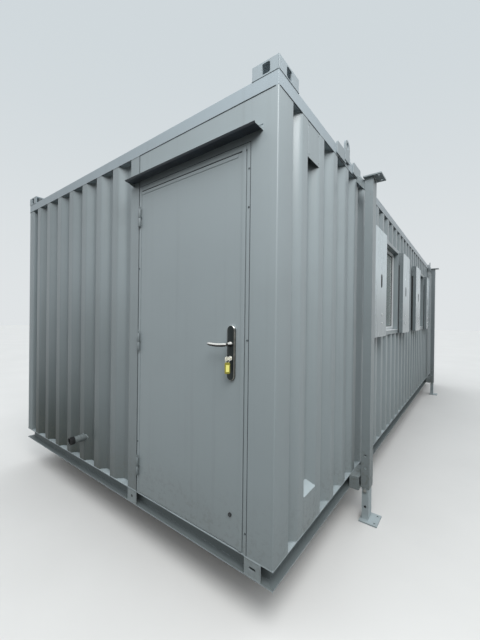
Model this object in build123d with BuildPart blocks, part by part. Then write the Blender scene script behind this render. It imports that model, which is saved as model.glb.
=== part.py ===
from build123d import *
import os

os.makedirs("parts", exist_ok=True)

# A steel site cabin on four jacklegs, in millimetres.
# The door end faces -Y, the long side with the windows faces +X and the ground is Z = 0.
# Sizes called "inset" run along a wall from its right-hand or door-end corner.

# Overall sizes, over the crests of the wall sheets
cabin_length = 7620.0
cabin_width = 3050.0
wall_height = 2304.0
ground_clearance = 250.0

# Base frame of channels that face outwards
channel_depth = 100.0
channel_flange = 50.0
channel_web = 5.0
channel_flange_thickness = 8.0
joist_spacing = 610.0
joist_depth = 80.0
joist_flange = 40.0
joist_thickness = 4.0
deck_thickness = 18.0
tie_plate_width = 96.0
tie_plate_thickness = 8.0
tie_slot_length = 40.0
tie_slot_width = 16.0
tie_hole_radius = 10.0
slotted_plate_inset = 120.0
drilled_plate_inset = 1143.0

# Wall sheets, linings and corner posts
sheet_thickness = 2.0
corrugation_depth = 45.0
trough_width = 160.0
trough_slope = 44.0
nominal_pitch = 236.0
side_first_trough = 91.0
end_first_trough = 47.0
door_strip_width = 104.0
lining_thickness = 55.0
post_end_leg = 102.0
post_side_leg = 153.0
post_thickness = 3.0

# Roof
rail_depth = 75.0
rail_flange = 50.0
rail_thickness = 4.0
ceiling_thickness = 40.0
roof_sheet_thickness = 3.0
roof_flat_margin = 110.0
roof_crown = 22.0

# Fabricated corner blocks on the roof
block_width = 155.0
block_length = 205.0
block_height = 70.0
block_plate = 9.0
block_end_hole_width = 47.0
block_end_hole_inset = 50.0
block_side_hole_width = 54.0
block_side_hole_inset = 76.0
block_hole_sill = 8.0
block_hole_radius = 10.0

# Lifting lugs and doubler plates on the long roof rails
lug_inset = 965.0
lug_width = 100.0
lug_thickness = 12.0
lug_above_rail = 110.0
lug_below_rail_top = 45.0
lug_eye_radius = 23.0
lug_eye_below_top = 42.0
doubler_width = 180.0
doubler_above_rail = 20.0
doubler_below_rail_top = 65.0
doubler_thickness = 10.0
doubler_corner_radius = 12.0
end_doubler_offset = -111.0
leg_doubler_offset = 242.0

# Door, seen from outside: hinges on the left, lock on the right
door_frame_inset = 157.0
door_frame_width = 930.0
door_frame_face = 22.0
door_frame_head = 31.0
door_stop_width = 18.0
door_gap = 7.0
door_rebate_clearance = 5.0
door_leaf_height = 2042.0
door_leaf_thickness = 45.0
door_sheet = 2.0
edge_strip_width = 22.0
edge_strip_overlap = 2.0
edge_strip_thickness = 3.0
threshold_height = 18.0

# Lift-off hinges
hinge_radius = 9.0
hinge_pin_radius = 6.0
hinge_pin_length = 45.0
hinge_clearance = 0.05
hinge_length = 118.0
hinge_gap = 1.0
hinge_standoff = 12.0
hinge_axis_back = 2.5
hinge_tab_thickness = 8.0
hinge_tab_width = 17.0
hinge_tab_clearance = 1.5
hinge_heights = (292.0, 1188.0, 2079.0)

# Handle set, with heights from the underside of the base
handle_backset = 77.0
backplate_width = 50.0
backplate_height = 290.0
backplate_thickness = 14.0
backplate_middle_height = 1118.0
spindle_height = 1163.0
spindle_radius = 9.0
spindle_clearance = 0.1
lever_length = 128.0
lever_standoff = 44.0
lever_height = 18.0
lever_depth = 12.0
lever_dip = 4.0
lever_tip_rise = 4.0
cylinder_height = 1090.0
cylinder_radius = 8.5
cylinder_projection = 9.0
key_bow_radius = 12.0
key_hole_radius = 3.5
key_hole_offset = 5.0
key_thickness = 2.5
key_shank_length = 8.0
key_shank_width = 8.0
key_tag_width = 28.0
key_tag_length = 56.0
key_tag_corner_radius = 6.0
key_ring_radius = 12.0
key_ring_wire = 1.2
key_play = 0.15
bumper_inset = 78.0
bumper_height = 268.0
bumper_radius = 11.0
bumper_projection = 7.0

# Folded hood over the door
hood_inset = 62.0
hood_length = 1023.0
hood_projection = 115.0
hood_sheet = 3.0
hood_lip = 14.0
hood_lip_return = 12.0
hood_lip_height = 2177.0
hood_fall = 37.0
hood_upstand = 18.0
hood_cheek_reach = 75.0
hood_cheek_drop = 38.0

# Windows, placed at a share of the length from each end, and the shutters folded back beside them
window_length_share = 0.332
window_width = 930.0
window_sill_height = 1143.0
window_height = 1022.0
surround_face = 40.0
surround_sheet = 3.0
surround_proud = 9.0
sash_face = 45.0
sash_depth = 40.0
sash_setback = 48.0
glass_thickness = 6.0
shutter_gap = 5.0
shutter_width = 490.0
shutter_height = 997.0
shutter_thickness = 58.0
shutter_standoff = 2.0
shutter_sheet = 2.0
shutter_slot_height = 128.0
shutter_slot_width = 60.0
shutter_slot_inset = 205.0
shutter_slot_middle_height = 1668.0
shutter_hinge_radius = 8.0
shutter_hinge_length = 90.0
shutter_hinge_inset = 150.0

# Jacklegs
jackleg_inset = 1257.0
jackleg_standoff = 69.0
sleeve_across = 62.0
sleeve_along = 100.0
sleeve_wall = 4.0
sleeve_top_below_rail = 89.0
leg_clearance = 2.0
leg_wall = 4.0
leg_engagement = 600.0
plate_across = 132.0
plate_along = 160.0
plate_thickness = 10.0
plate_inner_overhang = 7.0
plate_hole_radius = 9.0
plate_hole_spacing = 105.0
plate_hole_edge = 24.0
pin_radius = 9.5
pin_overhang = 12.0
pin_gap = 0.3
pin_hole_radius = 10.0
leg_hole_spacing = 133.0
sleeve_hole_heights = (155.0, 251.0)
lower_bracket_along = 214.0
bracket_plate = 8.0
upper_bracket_along = 80.0
upper_bracket_drop = 53.0
upper_bracket_wall_depth = 44.0
upper_bracket_sleeve_depth = 78.0

# Service covers that close one trough, and the waste pipe
cover_trough = 1
cover_height = 200.0
cover_ledge_thickness = 3.0
pipe_inset = 1830.0
pipe_radius = 28.0
pipe_wall = 2.5
pipe_height = 293.0
pipe_fall_angle = 1.0
pipe_projection = 118.0
pipe_clearance = 1.5

# Levels and planes that follow from the sizes above
base_bottom = ground_clearance
base_top = base_bottom + channel_depth
floor_top = base_top + deck_thickness
rail_bottom = base_top + wall_height
rail_top = rail_bottom + rail_depth
half_width = cabin_width / 2
front_y = -(cabin_length - pipe_projection) / 2
back_y = front_y + cabin_length
skin_depth = corrugation_depth + sheet_thickness
wall_thickness = skin_depth + lining_thickness
inner_half_width = half_width - wall_thickness
inner_front = front_y + wall_thickness
frame_right = half_width - door_frame_inset
frame_left = frame_right - door_frame_width
leaf_left = frame_left + door_frame_face + door_gap
leaf_right = frame_right - door_frame_face - door_gap
leaf_bottom = base_top + door_gap
leaf_top = leaf_bottom + door_leaf_height
frame_top = leaf_top + door_gap + door_frame_head
stop_front = front_y + door_leaf_thickness + door_rebate_clearance
handle_x = leaf_right - handle_backset
backplate_front = front_y - backplate_thickness
sleeve_inner_x = half_width + jackleg_standoff
sleeve_middle_x = sleeve_inner_x + sleeve_across / 2
sleeve_top = rail_top - sleeve_top_below_rail
window_bottom = base_bottom + window_sill_height
window_middle = window_bottom + window_height / 2
window_inset = window_length_share * cabin_length
window_middles = (front_y + window_inset, back_y - window_inset)
reveal_width = window_width - 2 * surround_face
reveal_height = window_height - 2 * surround_face

# The four corners as side, end and the way inwards from that end
corners = [(-1, front_y, 1), (1, front_y, 1), (-1, back_y, -1), (1, back_y, -1)]


def save(piece, name):
    """Label a finished piece and write it as one STEP file."""
    piece.part.label = name
    export_step(piece.part, f"parts/{name}.step")


def together(pieces):
    """Pieces of one kind that share a node without touching each other."""
    with BuildPart() as group:
        for piece in pieces:
            add(piece.part)
    return group


def elevation(y):
    """A plane that faces the door end, at depth y, with X to the right and Z up."""
    return Plane.XZ.offset(-y)


def rectangle(low, high, mode=Mode.ADD):
    """A rectangle between two opposite corners of the open sketch."""
    middle = ((low[0] + high[0]) / 2, (low[1] + high[1]) / 2)
    with Locations(middle):
        Rectangle(abs(high[0] - low[0]), abs(high[1] - low[1]), mode=mode)


# Mitred frames: the base channels and the roof rails share one construction.
# A section is a list of (inset from the outer face, height) points.
def side_member(section, side):
    with BuildPart() as member:
        with BuildSketch(elevation(front_y)):
            Polygon([(side * (half_width - inset), height) for inset, height in section], align=None)
        extrude(amount=-cabin_length)
        for end_y, inward in ((front_y, 1), (back_y, -1)):
            split(bisect_by=Plane(origin=(side * half_width, end_y, 0), z_dir=(side, inward, 0)))
    return member


def end_member(section, end_y, inward):
    with BuildPart() as member:
        with BuildSketch(Plane.YZ.offset(-half_width)):
            Polygon([(end_y + inward * inset, height) for inset, height in section], align=None)
        extrude(amount=cabin_width)
        for side in (-1, 1):
            split(bisect_by=Plane(origin=(side * half_width, end_y, 0), z_dir=(-side, -inward, 0)))
    return member


base_section = [
    (0, base_bottom),
    (channel_flange, base_bottom),
    (channel_flange, base_top),
    (0, base_top),
    (0, base_top - channel_flange_thickness),
    (channel_flange - channel_web, base_top - channel_flange_thickness),
    (channel_flange - channel_web, base_bottom + channel_flange_thickness),
    (0, base_bottom + channel_flange_thickness),
]
rail_section = [
    (0, rail_bottom),
    (rail_flange, rail_bottom),
    (rail_flange, rail_bottom + rail_thickness),
    (rail_thickness, rail_bottom + rail_thickness),
    (rail_thickness, rail_top - rail_thickness),
    (rail_flange, rail_top - rail_thickness),
    (rail_flange, rail_top),
    (0, rail_top),
]
save(end_member(base_section, front_y, 1), "base_channel_front")
save(end_member(base_section, back_y, -1), "base_channel_back")
save(side_member(base_section, -1), "base_channel_left")
save(side_member(base_section, 1), "base_channel_right")
save(end_member(rail_section, front_y, 1), "roof_rail_front")
save(end_member(rail_section, back_y, -1), "roof_rail_back")
save(side_member(rail_section, -1), "roof_rail_left")
save(side_member(rail_section, 1), "roof_rail_right")

# Tie-down plates welded between the flanges of the front channel, one slotted and one drilled
with BuildPart() as tie_plates:
    plate_middle = base_bottom + channel_depth / 2
    plate_places = [
        (half_width - slotted_plate_inset, plate_middle),
        (half_width - drilled_plate_inset, plate_middle),
    ]
    with BuildSketch(elevation(front_y)):
        with Locations(plate_places):
            Rectangle(tie_plate_width, channel_depth - 2 * channel_flange_thickness)
        with Locations(plate_places[0]):
            SlotOverall(tie_slot_length, tie_slot_width, mode=Mode.SUBTRACT)
        with Locations(plate_places[1]):
            Circle(tie_hole_radius, mode=Mode.SUBTRACT)
    extrude(amount=-tie_plate_thickness)
save(tie_plates, "tie_plates")

# Floor joists, folded C sections between the webs of the side channels
with BuildPart() as floor_joists:
    joist_span = cabin_length - 2 * channel_flange
    joist_bays = round(joist_span / joist_spacing)
    joist_bottom = base_top - joist_depth
    with BuildSketch(Plane.YZ.offset(-half_width + channel_flange)):
        for bay in range(1, joist_bays):
            joist_y = front_y + channel_flange + joist_span * bay / joist_bays
            rectangle((joist_y, joist_bottom), (joist_y + joist_flange, base_top))
            rectangle(
                (joist_y + joist_thickness, joist_bottom + joist_thickness),
                (joist_y + joist_flange, base_top - joist_thickness),
                mode=Mode.SUBTRACT,
            )
    extrude(amount=cabin_width - 2 * channel_flange)
save(floor_joists, "floor_joists")

# Floor deck, notched for the door frame
with BuildPart() as floor_deck:
    with BuildSketch(Plane.XY.offset(base_top)):
        deck_half_width = half_width - skin_depth
        rectangle((-deck_half_width, front_y + skin_depth), (deck_half_width, back_y - skin_depth))
        rectangle((frame_left, front_y), (frame_right, inner_front), mode=Mode.SUBTRACT)
    extrude(amount=deck_thickness)
save(floor_deck, "floor_deck")


# Corner posts: a folded angle whose edges return to the floor of the first trough
def corner_post(side, end_y, inward):
    corner_x = side * half_width
    end_edge_x = corner_x - side * post_end_leg
    side_edge_y = end_y + inward * post_side_leg
    with BuildPart() as post:
        with BuildSketch(Plane.XY.offset(base_top)):
            rectangle((end_edge_x, end_y), (corner_x, side_edge_y))
            rectangle(
                (end_edge_x + side * post_thickness, end_y + inward * post_thickness),
                (corner_x - side * post_thickness, side_edge_y - inward * post_thickness),
                mode=Mode.SUBTRACT,
            )
            rectangle(
                (end_edge_x, end_y + inward * skin_depth),
                (corner_x - side * skin_depth, side_edge_y),
                mode=Mode.SUBTRACT,
            )
        extrude(amount=wall_height)
    return post


save(together(corner_post(*corner) for corner in corners), "corner_posts")


# Corrugated wall sheets, each drawn in plan from its left-hand corner with depth running inwards
def trough_starts(first, last_end):
    """Starts of evenly spread troughs, the last of which ends at last_end."""
    run = last_end - trough_width - first
    bays = max(1, round(run / nominal_pitch))
    return [first + run * bay / bays for bay in range(bays + 1)]


def corrugated_sheet(corner, direction, start, end, troughs):
    """A standing sheet from start to end along its wall, crests flush with the corner."""
    front = []
    for trough in troughs:
        front.append((trough, 0))
        front.append((trough + trough_slope, corrugation_depth))
        front.append((trough + trough_width - trough_slope, corrugation_depth))
        front.append((trough + trough_width, 0))
    front = [point for point in front if start < point[0] < end]
    front = [(start, front[0][1]), *front, (end, front[-1][1])]
    back = [(along, depth + sheet_thickness) for along, depth in reversed(front)]
    with BuildPart() as sheet:
        with BuildSketch(Plane(origin=(*corner, base_top), x_dir=(*direction, 0), z_dir=(0, 0, 1))):
            Polygon(front + back, align=None)
        extrude(amount=wall_height)
    return sheet


side_troughs = trough_starts(side_first_trough, cabin_length - side_first_trough)
back_troughs = trough_starts(end_first_trough, cabin_width - end_first_trough)
front_sheet_end = cabin_width - door_frame_inset - door_frame_width
front_troughs = trough_starts(end_first_trough, front_sheet_end - door_strip_width)
side_sheet_end = cabin_length - post_side_leg
end_sheet_end = cabin_width - post_end_leg
pipe_x = half_width - pipe_inset
pipe_z = base_bottom + pipe_height
pipe_axis = Plane.XZ.rotated((-pipe_fall_angle, 0, 0)).z_dir

front_sheet = corrugated_sheet(
    (-half_width, front_y), (1, 0), post_end_leg, front_sheet_end, front_troughs
)
with BuildPart() as front_wall_skin:
    add(front_sheet.part)
    with BuildSketch(elevation(front_y + skin_depth)):
        with Locations((pipe_x, pipe_z)):
            Circle(pipe_radius + pipe_clearance)
    extrude(amount=skin_depth, mode=Mode.SUBTRACT)
save(front_wall_skin, "front_wall_skin")

back_wall_skin = corrugated_sheet(
    (half_width, back_y), (-1, 0), post_end_leg, end_sheet_end, back_troughs
)
save(back_wall_skin, "back_wall_skin")

left_wall_skin = corrugated_sheet(
    (-half_width, back_y), (0, -1), post_side_leg, side_sheet_end, side_troughs
)
save(left_wall_skin, "left_wall_skin")

window_sheet = corrugated_sheet(
    (half_width, front_y), (0, 1), post_side_leg, side_sheet_end, side_troughs
)
with BuildPart() as right_wall_skin:
    add(window_sheet.part)
    with BuildSketch(Plane.YZ.offset(inner_half_width)):
        with Locations([(window_y, window_middle) for window_y in window_middles]):
            Rectangle(window_width, window_height)
    extrude(amount=wall_thickness, mode=Mode.SUBTRACT)
save(right_wall_skin, "right_wall_skin")


# Insulated linings behind the sheets, standing on the deck
def side_lining(side, openings):
    with BuildPart() as lining:
        with BuildSketch(Plane.YZ.offset(side * (half_width - skin_depth))):
            rectangle((front_y + skin_depth, floor_top), (back_y - skin_depth, rail_bottom))
            if openings:
                with Locations([(window_y, window_middle) for window_y in openings]):
                    Rectangle(reveal_width, reveal_height, mode=Mode.SUBTRACT)
        extrude(amount=-side * lining_thickness)
    return lining


def end_lining(low, high, outer_y, inward):
    with BuildPart() as lining:
        with BuildSketch(elevation(outer_y)):
            rectangle(low, high)
        extrude(amount=-inward * lining_thickness)
    return lining


front_lining_y = front_y + skin_depth
save(side_lining(1, window_middles), "right_wall_lining")
save(side_lining(-1, ()), "left_wall_lining")
left_of_door = end_lining((-inner_half_width, floor_top), (frame_left, rail_bottom), front_lining_y, 1)
right_of_door = end_lining((frame_right, floor_top), (inner_half_width, rail_bottom), front_lining_y, 1)
save(together([left_of_door, right_of_door]), "front_wall_lining")
save(
    end_lining((frame_left, frame_top), (frame_right, rail_bottom), front_lining_y, 1),
    "over_door_lining",
)
save(
    end_lining(
        (-inner_half_width, floor_top),
        (inner_half_width, rail_bottom),
        back_y - skin_depth,
        -1,
    ),
    "back_wall_lining",
)


# Flat steel pans beside and over the door, folded back to the lining
def folded_pan(low, high):
    with BuildPart() as pan:
        with BuildSketch(elevation(front_y)):
            rectangle(low, high)
        extrude(amount=-skin_depth)
        offset(
            amount=-sheet_thickness,
            openings=pan.faces().sort_by(Axis.Y)[-1],
        )
    return pan


save(
    folded_pan((frame_right, base_top), (half_width - post_end_leg, rail_bottom)),
    "beside_door_panel",
)
save(folded_pan((frame_left, frame_top), (frame_right, rail_bottom)), "over_door_panel")

# Ceiling panel on the linings, between the flanges of the roof rails
with BuildPart() as ceiling_panel:
    with BuildSketch(Plane.XY.offset(rail_bottom)):
        ceiling_half_width = half_width - rail_flange
        rectangle(
            (-ceiling_half_width, front_y + rail_flange),
            (ceiling_half_width, back_y - rail_flange),
        )
    extrude(amount=ceiling_thickness)
save(ceiling_panel, "ceiling_panel")

# Roof sheet, level along both sides and cambered between them so that rain runs off
with BuildPart() as roof_sheet:
    with BuildSketch(elevation(front_y + rail_flange)):
        with BuildLine():
            camber_start = ceiling_half_width - roof_flat_margin
            roof_underside = rail_top - roof_sheet_thickness
            Line((camber_start, rail_top), (ceiling_half_width, rail_top))
            Line((ceiling_half_width, rail_top), (ceiling_half_width, roof_underside))
            Line((ceiling_half_width, roof_underside), (camber_start, roof_underside))
            ThreePointArc(
                (camber_start, roof_underside),
                (0, roof_underside + roof_crown),
                (-camber_start, roof_underside),
            )
            Line((-camber_start, roof_underside), (-ceiling_half_width, roof_underside))
            Line((-ceiling_half_width, roof_underside), (-ceiling_half_width, rail_top))
            Line((-ceiling_half_width, rail_top), (-camber_start, rail_top))
            ThreePointArc((-camber_start, rail_top), (0, rail_top + roof_crown), (camber_start, rail_top))
        make_face()
    extrude(amount=-(cabin_length - 2 * rail_flange))
save(roof_sheet, "roof_sheet")


# Corner blocks: a top plate on an end plate and a side plate, open towards the roof
def corner_block(side, end_y, inward):
    corner_x = side * half_width
    under_plate = rail_top + block_height - block_plate
    hole_middle = (rail_top + block_hole_sill + under_plate) / 2
    hole_height = under_plate - rail_top - block_hole_sill
    with BuildPart() as block:
        with BuildSketch(Plane.XY.offset(rail_top)):
            rectangle((corner_x, end_y), (corner_x - side * block_width, end_y + inward * block_plate))
            rectangle((corner_x, end_y), (corner_x - side * block_plate, end_y + inward * block_length))
        extrude(amount=block_height)
        with BuildSketch(Plane.XY.offset(under_plate)):
            rectangle((corner_x, end_y), (corner_x - side * block_width, end_y + inward * block_length))
        extrude(amount=block_plate)
        end_hole_x = corner_x - side * (block_end_hole_inset + block_end_hole_width / 2)
        with BuildSketch(elevation(end_y)):
            with Locations((end_hole_x, hole_middle)):
                RectangleRounded(block_end_hole_width, hole_height, block_hole_radius)
        extrude(amount=-inward * block_plate, mode=Mode.SUBTRACT)
        side_hole_y = end_y + inward * (block_side_hole_inset + block_side_hole_width / 2)
        with BuildSketch(Plane.YZ.offset(corner_x)):
            with Locations((side_hole_y, hole_middle)):
                RectangleRounded(block_side_hole_width, hole_height, block_hole_radius)
        extrude(amount=-side * block_plate, mode=Mode.SUBTRACT)
    return block


save(together(corner_block(*corner) for corner in corners), "corner_blocks")


# Lifting lugs and doubler plates, flat bars welded to the outer face of a long rail
def lifting_lugs(side):
    lug_top = rail_top + lug_above_rail
    lug_bottom = rail_top - lug_below_rail_top
    round_middle = lug_top - lug_width / 2
    doubler_bottom = rail_top - doubler_below_rail_top
    doubler_height = doubler_below_rail_top + doubler_above_rail
    with BuildPart() as lugs:
        for end_y, inward in ((front_y, 1), (back_y, -1)):
            lug_y = end_y + inward * lug_inset
            with BuildSketch(Plane.YZ.offset(side * half_width)):
                rectangle((lug_y - lug_width / 2, lug_bottom), (lug_y + lug_width / 2, round_middle))
                with Locations((lug_y, round_middle)):
                    Circle(lug_width / 2)
                with Locations((lug_y, lug_top - lug_eye_below_top)):
                    Circle(lug_eye_radius, mode=Mode.SUBTRACT)
            extrude(amount=side * lug_thickness)
            with BuildSketch(Plane.YZ.offset(side * half_width)):
                for doubler_offset in (end_doubler_offset, leg_doubler_offset):
                    with Locations((lug_y + inward * doubler_offset, doubler_bottom + doubler_height / 2)):
                        RectangleRounded(doubler_width, doubler_height, doubler_corner_radius)
            extrude(amount=side * doubler_thickness)
    return lugs


save(together(lifting_lugs(side) for side in (-1, 1)), "lifting_lugs")

# Door frame: jambs, head and threshold as one folded ring with a rebate for the leaf
with BuildPart() as door_frame:
    with BuildSketch(elevation(front_y)):
        rectangle((frame_left, base_top), (frame_right, frame_top))
    extrude(amount=-wall_thickness)
    with BuildSketch(elevation(front_y)):
        rectangle((leaf_left - door_gap, base_top), (leaf_right + door_gap, leaf_top + door_gap))
    extrude(amount=front_y - stop_front, mode=Mode.SUBTRACT)
    with BuildSketch(elevation(stop_front)):
        stop_inset = door_frame_face + door_stop_width
        rectangle(
            (frame_left + stop_inset, base_top + threshold_height),
            (frame_right - stop_inset, leaf_top + door_gap - door_stop_width),
        )
    extrude(amount=stop_front - inner_front, mode=Mode.SUBTRACT)
save(door_frame, "door_frame")

# Door leaf: a folded steel pan with a cover strip along its lock edge
with BuildPart() as door_leaf:
    with BuildSketch(elevation(front_y)):
        rectangle((leaf_left, leaf_bottom), (leaf_right, leaf_top))
    extrude(amount=-door_leaf_thickness)
    offset(amount=-door_sheet, openings=door_leaf.faces().sort_by(Axis.Y)[-1])
    with BuildSketch(elevation(front_y)):
        rectangle(
            (leaf_right - edge_strip_width, leaf_bottom),
            (leaf_right + edge_strip_overlap, leaf_top),
        )
    extrude(amount=edge_strip_thickness)
save(door_leaf, "door_leaf")

# Core and inner sheet that fill the pan of the leaf
with BuildPart() as door_leaf_lining:
    with BuildSketch(elevation(front_y + door_sheet)):
        rectangle(
            (leaf_left + door_sheet, leaf_bottom + door_sheet),
            (leaf_right - door_sheet, leaf_top - door_sheet),
        )
    extrude(amount=-(door_leaf_thickness - door_sheet))
save(door_leaf_lining, "door_leaf_lining")

# Lift-off hinges: the lower halves and their pins on the frame, the upper halves on the leaf
hinge_x = frame_left + door_frame_face - hinge_axis_back
hinge_y = front_y - hinge_standoff
knuckle_length = (hinge_length - hinge_gap) / 2

with BuildPart() as frame_hinges:
    for height in hinge_heights:
        knuckle_bottom = base_bottom + height - hinge_length / 2
        with BuildSketch(Plane.XY.offset(knuckle_bottom)):
            with Locations((hinge_x, hinge_y)):
                Circle(hinge_radius)
            rectangle(
                (hinge_x - hinge_tab_width, front_y - hinge_tab_thickness),
                (hinge_x, front_y),
            )
        extrude(amount=knuckle_length)
        with BuildSketch(Plane.XY.offset(knuckle_bottom + knuckle_length)):
            with Locations((hinge_x, hinge_y)):
                Circle(hinge_pin_radius)
        extrude(amount=hinge_pin_length)
save(frame_hinges, "frame_hinges")

with BuildPart() as leaf_hinges:
    for height in hinge_heights:
        knuckle_bottom = base_bottom + height + hinge_gap / 2
        with BuildSketch(Plane.XY.offset(knuckle_bottom)):
            with Locations((hinge_x, hinge_y)):
                Circle(hinge_radius)
            rectangle(
                (frame_left + door_frame_face + hinge_tab_clearance, front_y - hinge_tab_thickness),
                (leaf_left + hinge_tab_width, front_y),
            )
        extrude(amount=knuckle_length)
        with BuildSketch(Plane.XY.offset(knuckle_bottom)):
            with Locations((hinge_x, hinge_y)):
                Circle(hinge_pin_radius + hinge_clearance)
        extrude(amount=hinge_pin_length, mode=Mode.SUBTRACT)
save(leaf_hinges, "leaf_hinges")

# Handle backplate with rounded ends, bored for the spindle and the lock cylinder
with BuildPart() as handle_backplate:
    with BuildSketch(elevation(front_y)):
        with Locations((handle_x, base_bottom + backplate_middle_height)):
            SlotOverall(backplate_height, backplate_width, rotation=90)
        with Locations((handle_x, base_bottom + spindle_height)):
            Circle(spindle_radius + spindle_clearance, mode=Mode.SUBTRACT)
        with Locations((handle_x, base_bottom + cylinder_height)):
            Circle(cylinder_radius, mode=Mode.SUBTRACT)
    extrude(amount=backplate_thickness)
save(handle_backplate, "handle_backplate")

# Lever handle: a round neck and an arm swept towards the hinges
with BuildPart() as lever_handle:
    lever_z = base_bottom + spindle_height
    lever_y = backplate_front - lever_standoff
    with BuildSketch(elevation(front_y - pin_gap)):
        with Locations((handle_x, lever_z)):
            Circle(spindle_radius)
    extrude(amount=backplate_thickness + lever_standoff - pin_gap)
    with BuildLine(elevation(lever_y)) as lever_path:
        ThreePointArc(
            (handle_x, lever_z),
            (handle_x - lever_length / 2, lever_z - lever_dip),
            (handle_x - lever_length, lever_z + lever_tip_rise),
        )
    with BuildSketch(lever_path.line ^ 0):
        Ellipse(lever_depth / 2, lever_height / 2)
    sweep(path=lever_path.line)
    with Locations((handle_x, lever_y, lever_z)):
        Sphere(lever_height / 2)
save(lever_handle, "lever_handle")

# Lock cylinder through the backplate
with BuildPart() as lock_cylinder:
    with BuildSketch(elevation(front_y)):
        with Locations((handle_x, base_bottom + cylinder_height)):
            Circle(cylinder_radius)
    extrude(amount=backplate_thickness + cylinder_projection)
save(lock_cylinder, "lock_cylinder")


# Keys: one in the lock, with a ring through its bow and a blank tag hanging from the ring
with BuildPart() as door_keys:
    cylinder_face = backplate_front - cylinder_projection
    key_z = base_bottom + cylinder_height
    bow_y = cylinder_face - key_shank_length - key_bow_radius
    hole_y = bow_y - key_hole_offset
    hang = key_hole_radius - key_ring_wire - key_play
    ring_middle_z = key_z - hang - key_ring_radius
    tag_hole_z = ring_middle_z - key_ring_radius - hang
    tag_top = tag_hole_z + key_bow_radius - key_hole_offset
    with BuildSketch(Plane.YZ.offset(handle_x - key_thickness / 2)):
        with Locations((bow_y, key_z)):
            Circle(key_bow_radius)
        rectangle((bow_y, key_z - key_shank_width / 2), (cylinder_face, key_z + key_shank_width / 2))
        with Locations((hole_y, tag_top - key_tag_length / 2)):
            RectangleRounded(key_tag_width, key_tag_length, key_tag_corner_radius)
        with Locations((hole_y, key_z), (hole_y, tag_hole_z)):
            Circle(key_hole_radius, mode=Mode.SUBTRACT)
    extrude(amount=key_thickness)
    with Locations(Location((handle_x, hole_y, ring_middle_z), (90, 0, 0))):
        Torus(key_ring_radius, key_ring_wire)
save(door_keys, "door_keys")

# Rubber buffer low on the leaf, for when it swings back against the wall
with BuildPart() as door_buffer:
    with BuildSketch(elevation(front_y)):
        with Locations((leaf_right - bumper_inset, base_bottom + bumper_height)):
            Circle(bumper_radius)
    extrude(amount=bumper_projection)
    fillet(door_buffer.faces().sort_by(Axis.Y)[0].edges(), radius=bumper_projection / 2)
save(door_buffer, "door_buffer")

# Hood over the door: a folded sheet with an upstand, a falling top and a lip, closed by end cheeks
with BuildPart() as door_hood:
    lip_bottom = base_bottom + hood_lip_height
    lip_top = lip_bottom + hood_lip
    hood_back = lip_top + hood_fall
    hood_right = half_width - hood_inset
    with BuildSketch(Plane.YZ.offset(hood_right - hood_length)):
        Polygon(
            [
                (front_y, hood_back + hood_upstand),
                (front_y - hood_sheet, hood_back + hood_upstand),
                (front_y - hood_sheet, hood_back),
                (front_y - hood_projection, lip_top),
                (front_y - hood_projection + hood_lip_return, lip_bottom),
                (front_y - hood_projection + hood_lip_return + hood_sheet, lip_bottom),
                (front_y - hood_projection + hood_sheet, lip_top - hood_sheet),
                (front_y, hood_back - hood_sheet),
            ],
            align=None,
        )
    extrude(amount=hood_length)
    cheek_fall = hood_fall * hood_cheek_reach / (hood_projection - hood_sheet)
    with BuildSketch(
        Plane.YZ.offset(hood_right - hood_length),
        Plane.YZ.offset(hood_right - hood_sheet),
    ):
        Polygon(
            [
                (front_y, hood_back),
                (front_y - hood_cheek_reach, hood_back - hood_sheet - cheek_fall),
                (front_y, hood_back - hood_cheek_drop),
            ],
            align=None,
        )
    extrude(amount=hood_sheet)
save(door_hood, "door_hood")

# Waste pipe from the wall, falling slightly outwards, trimmed flush with the lining
with BuildPart() as waste_pipe:
    pipe_end_y = front_y - pipe_projection
    pipe_root_y = front_y + corrugation_depth
    pipe_plane = Plane(origin=(pipe_x, pipe_root_y, pipe_z), x_dir=(1, 0, 0), z_dir=pipe_axis)
    with BuildSketch(pipe_plane):
        Circle(pipe_radius)
        Circle(pipe_radius - pipe_wall, mode=Mode.SUBTRACT)
    extrude(amount=2 * pipe_projection, both=True)
    split(bisect_by=elevation(pipe_end_y), keep=Keep.BOTTOM)
    split(bisect_by=elevation(front_y + skin_depth), keep=Keep.TOP)
save(waste_pipe, "waste_pipe")

# Service covers over one trough: an open one under the rail and a ledged one on the base
with BuildPart() as service_covers:
    trough = side_troughs[cover_trough]
    cover_plane = Plane(origin=(half_width, front_y, base_top), x_dir=(0, 1, 0), z_dir=(0, 0, 1))
    cover_start = trough + sheet_thickness
    cover_end = trough + trough_width - sheet_thickness
    with BuildSketch(cover_plane, cover_plane.offset(wall_height - cover_height)):
        rectangle((cover_start, 0), (cover_end, sheet_thickness))
    extrude(amount=cover_height)
    with BuildSketch(cover_plane.offset(cover_height - cover_ledge_thickness)):
        Polygon(
            [
                (cover_start, sheet_thickness),
                (trough + trough_slope, corrugation_depth),
                (trough + trough_width - trough_slope, corrugation_depth),
                (cover_end, sheet_thickness),
            ],
            align=None,
        )
    extrude(amount=cover_ledge_thickness)
save(service_covers, "service_covers")


# Windows: a folded steel surround on the lining, a sash inside it and one pane
def window_surround(window_y):
    with BuildPart() as surround:
        with BuildSketch(Plane.YZ.offset(half_width - skin_depth)):
            with Locations((window_y, window_middle)):
                Rectangle(window_width, window_height)
                Rectangle(reveal_width, reveal_height, mode=Mode.SUBTRACT)
        extrude(amount=skin_depth + surround_proud)
        offset(amount=-surround_sheet, openings=surround.faces().sort_by(Axis.X)[0])
    return surround


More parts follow.
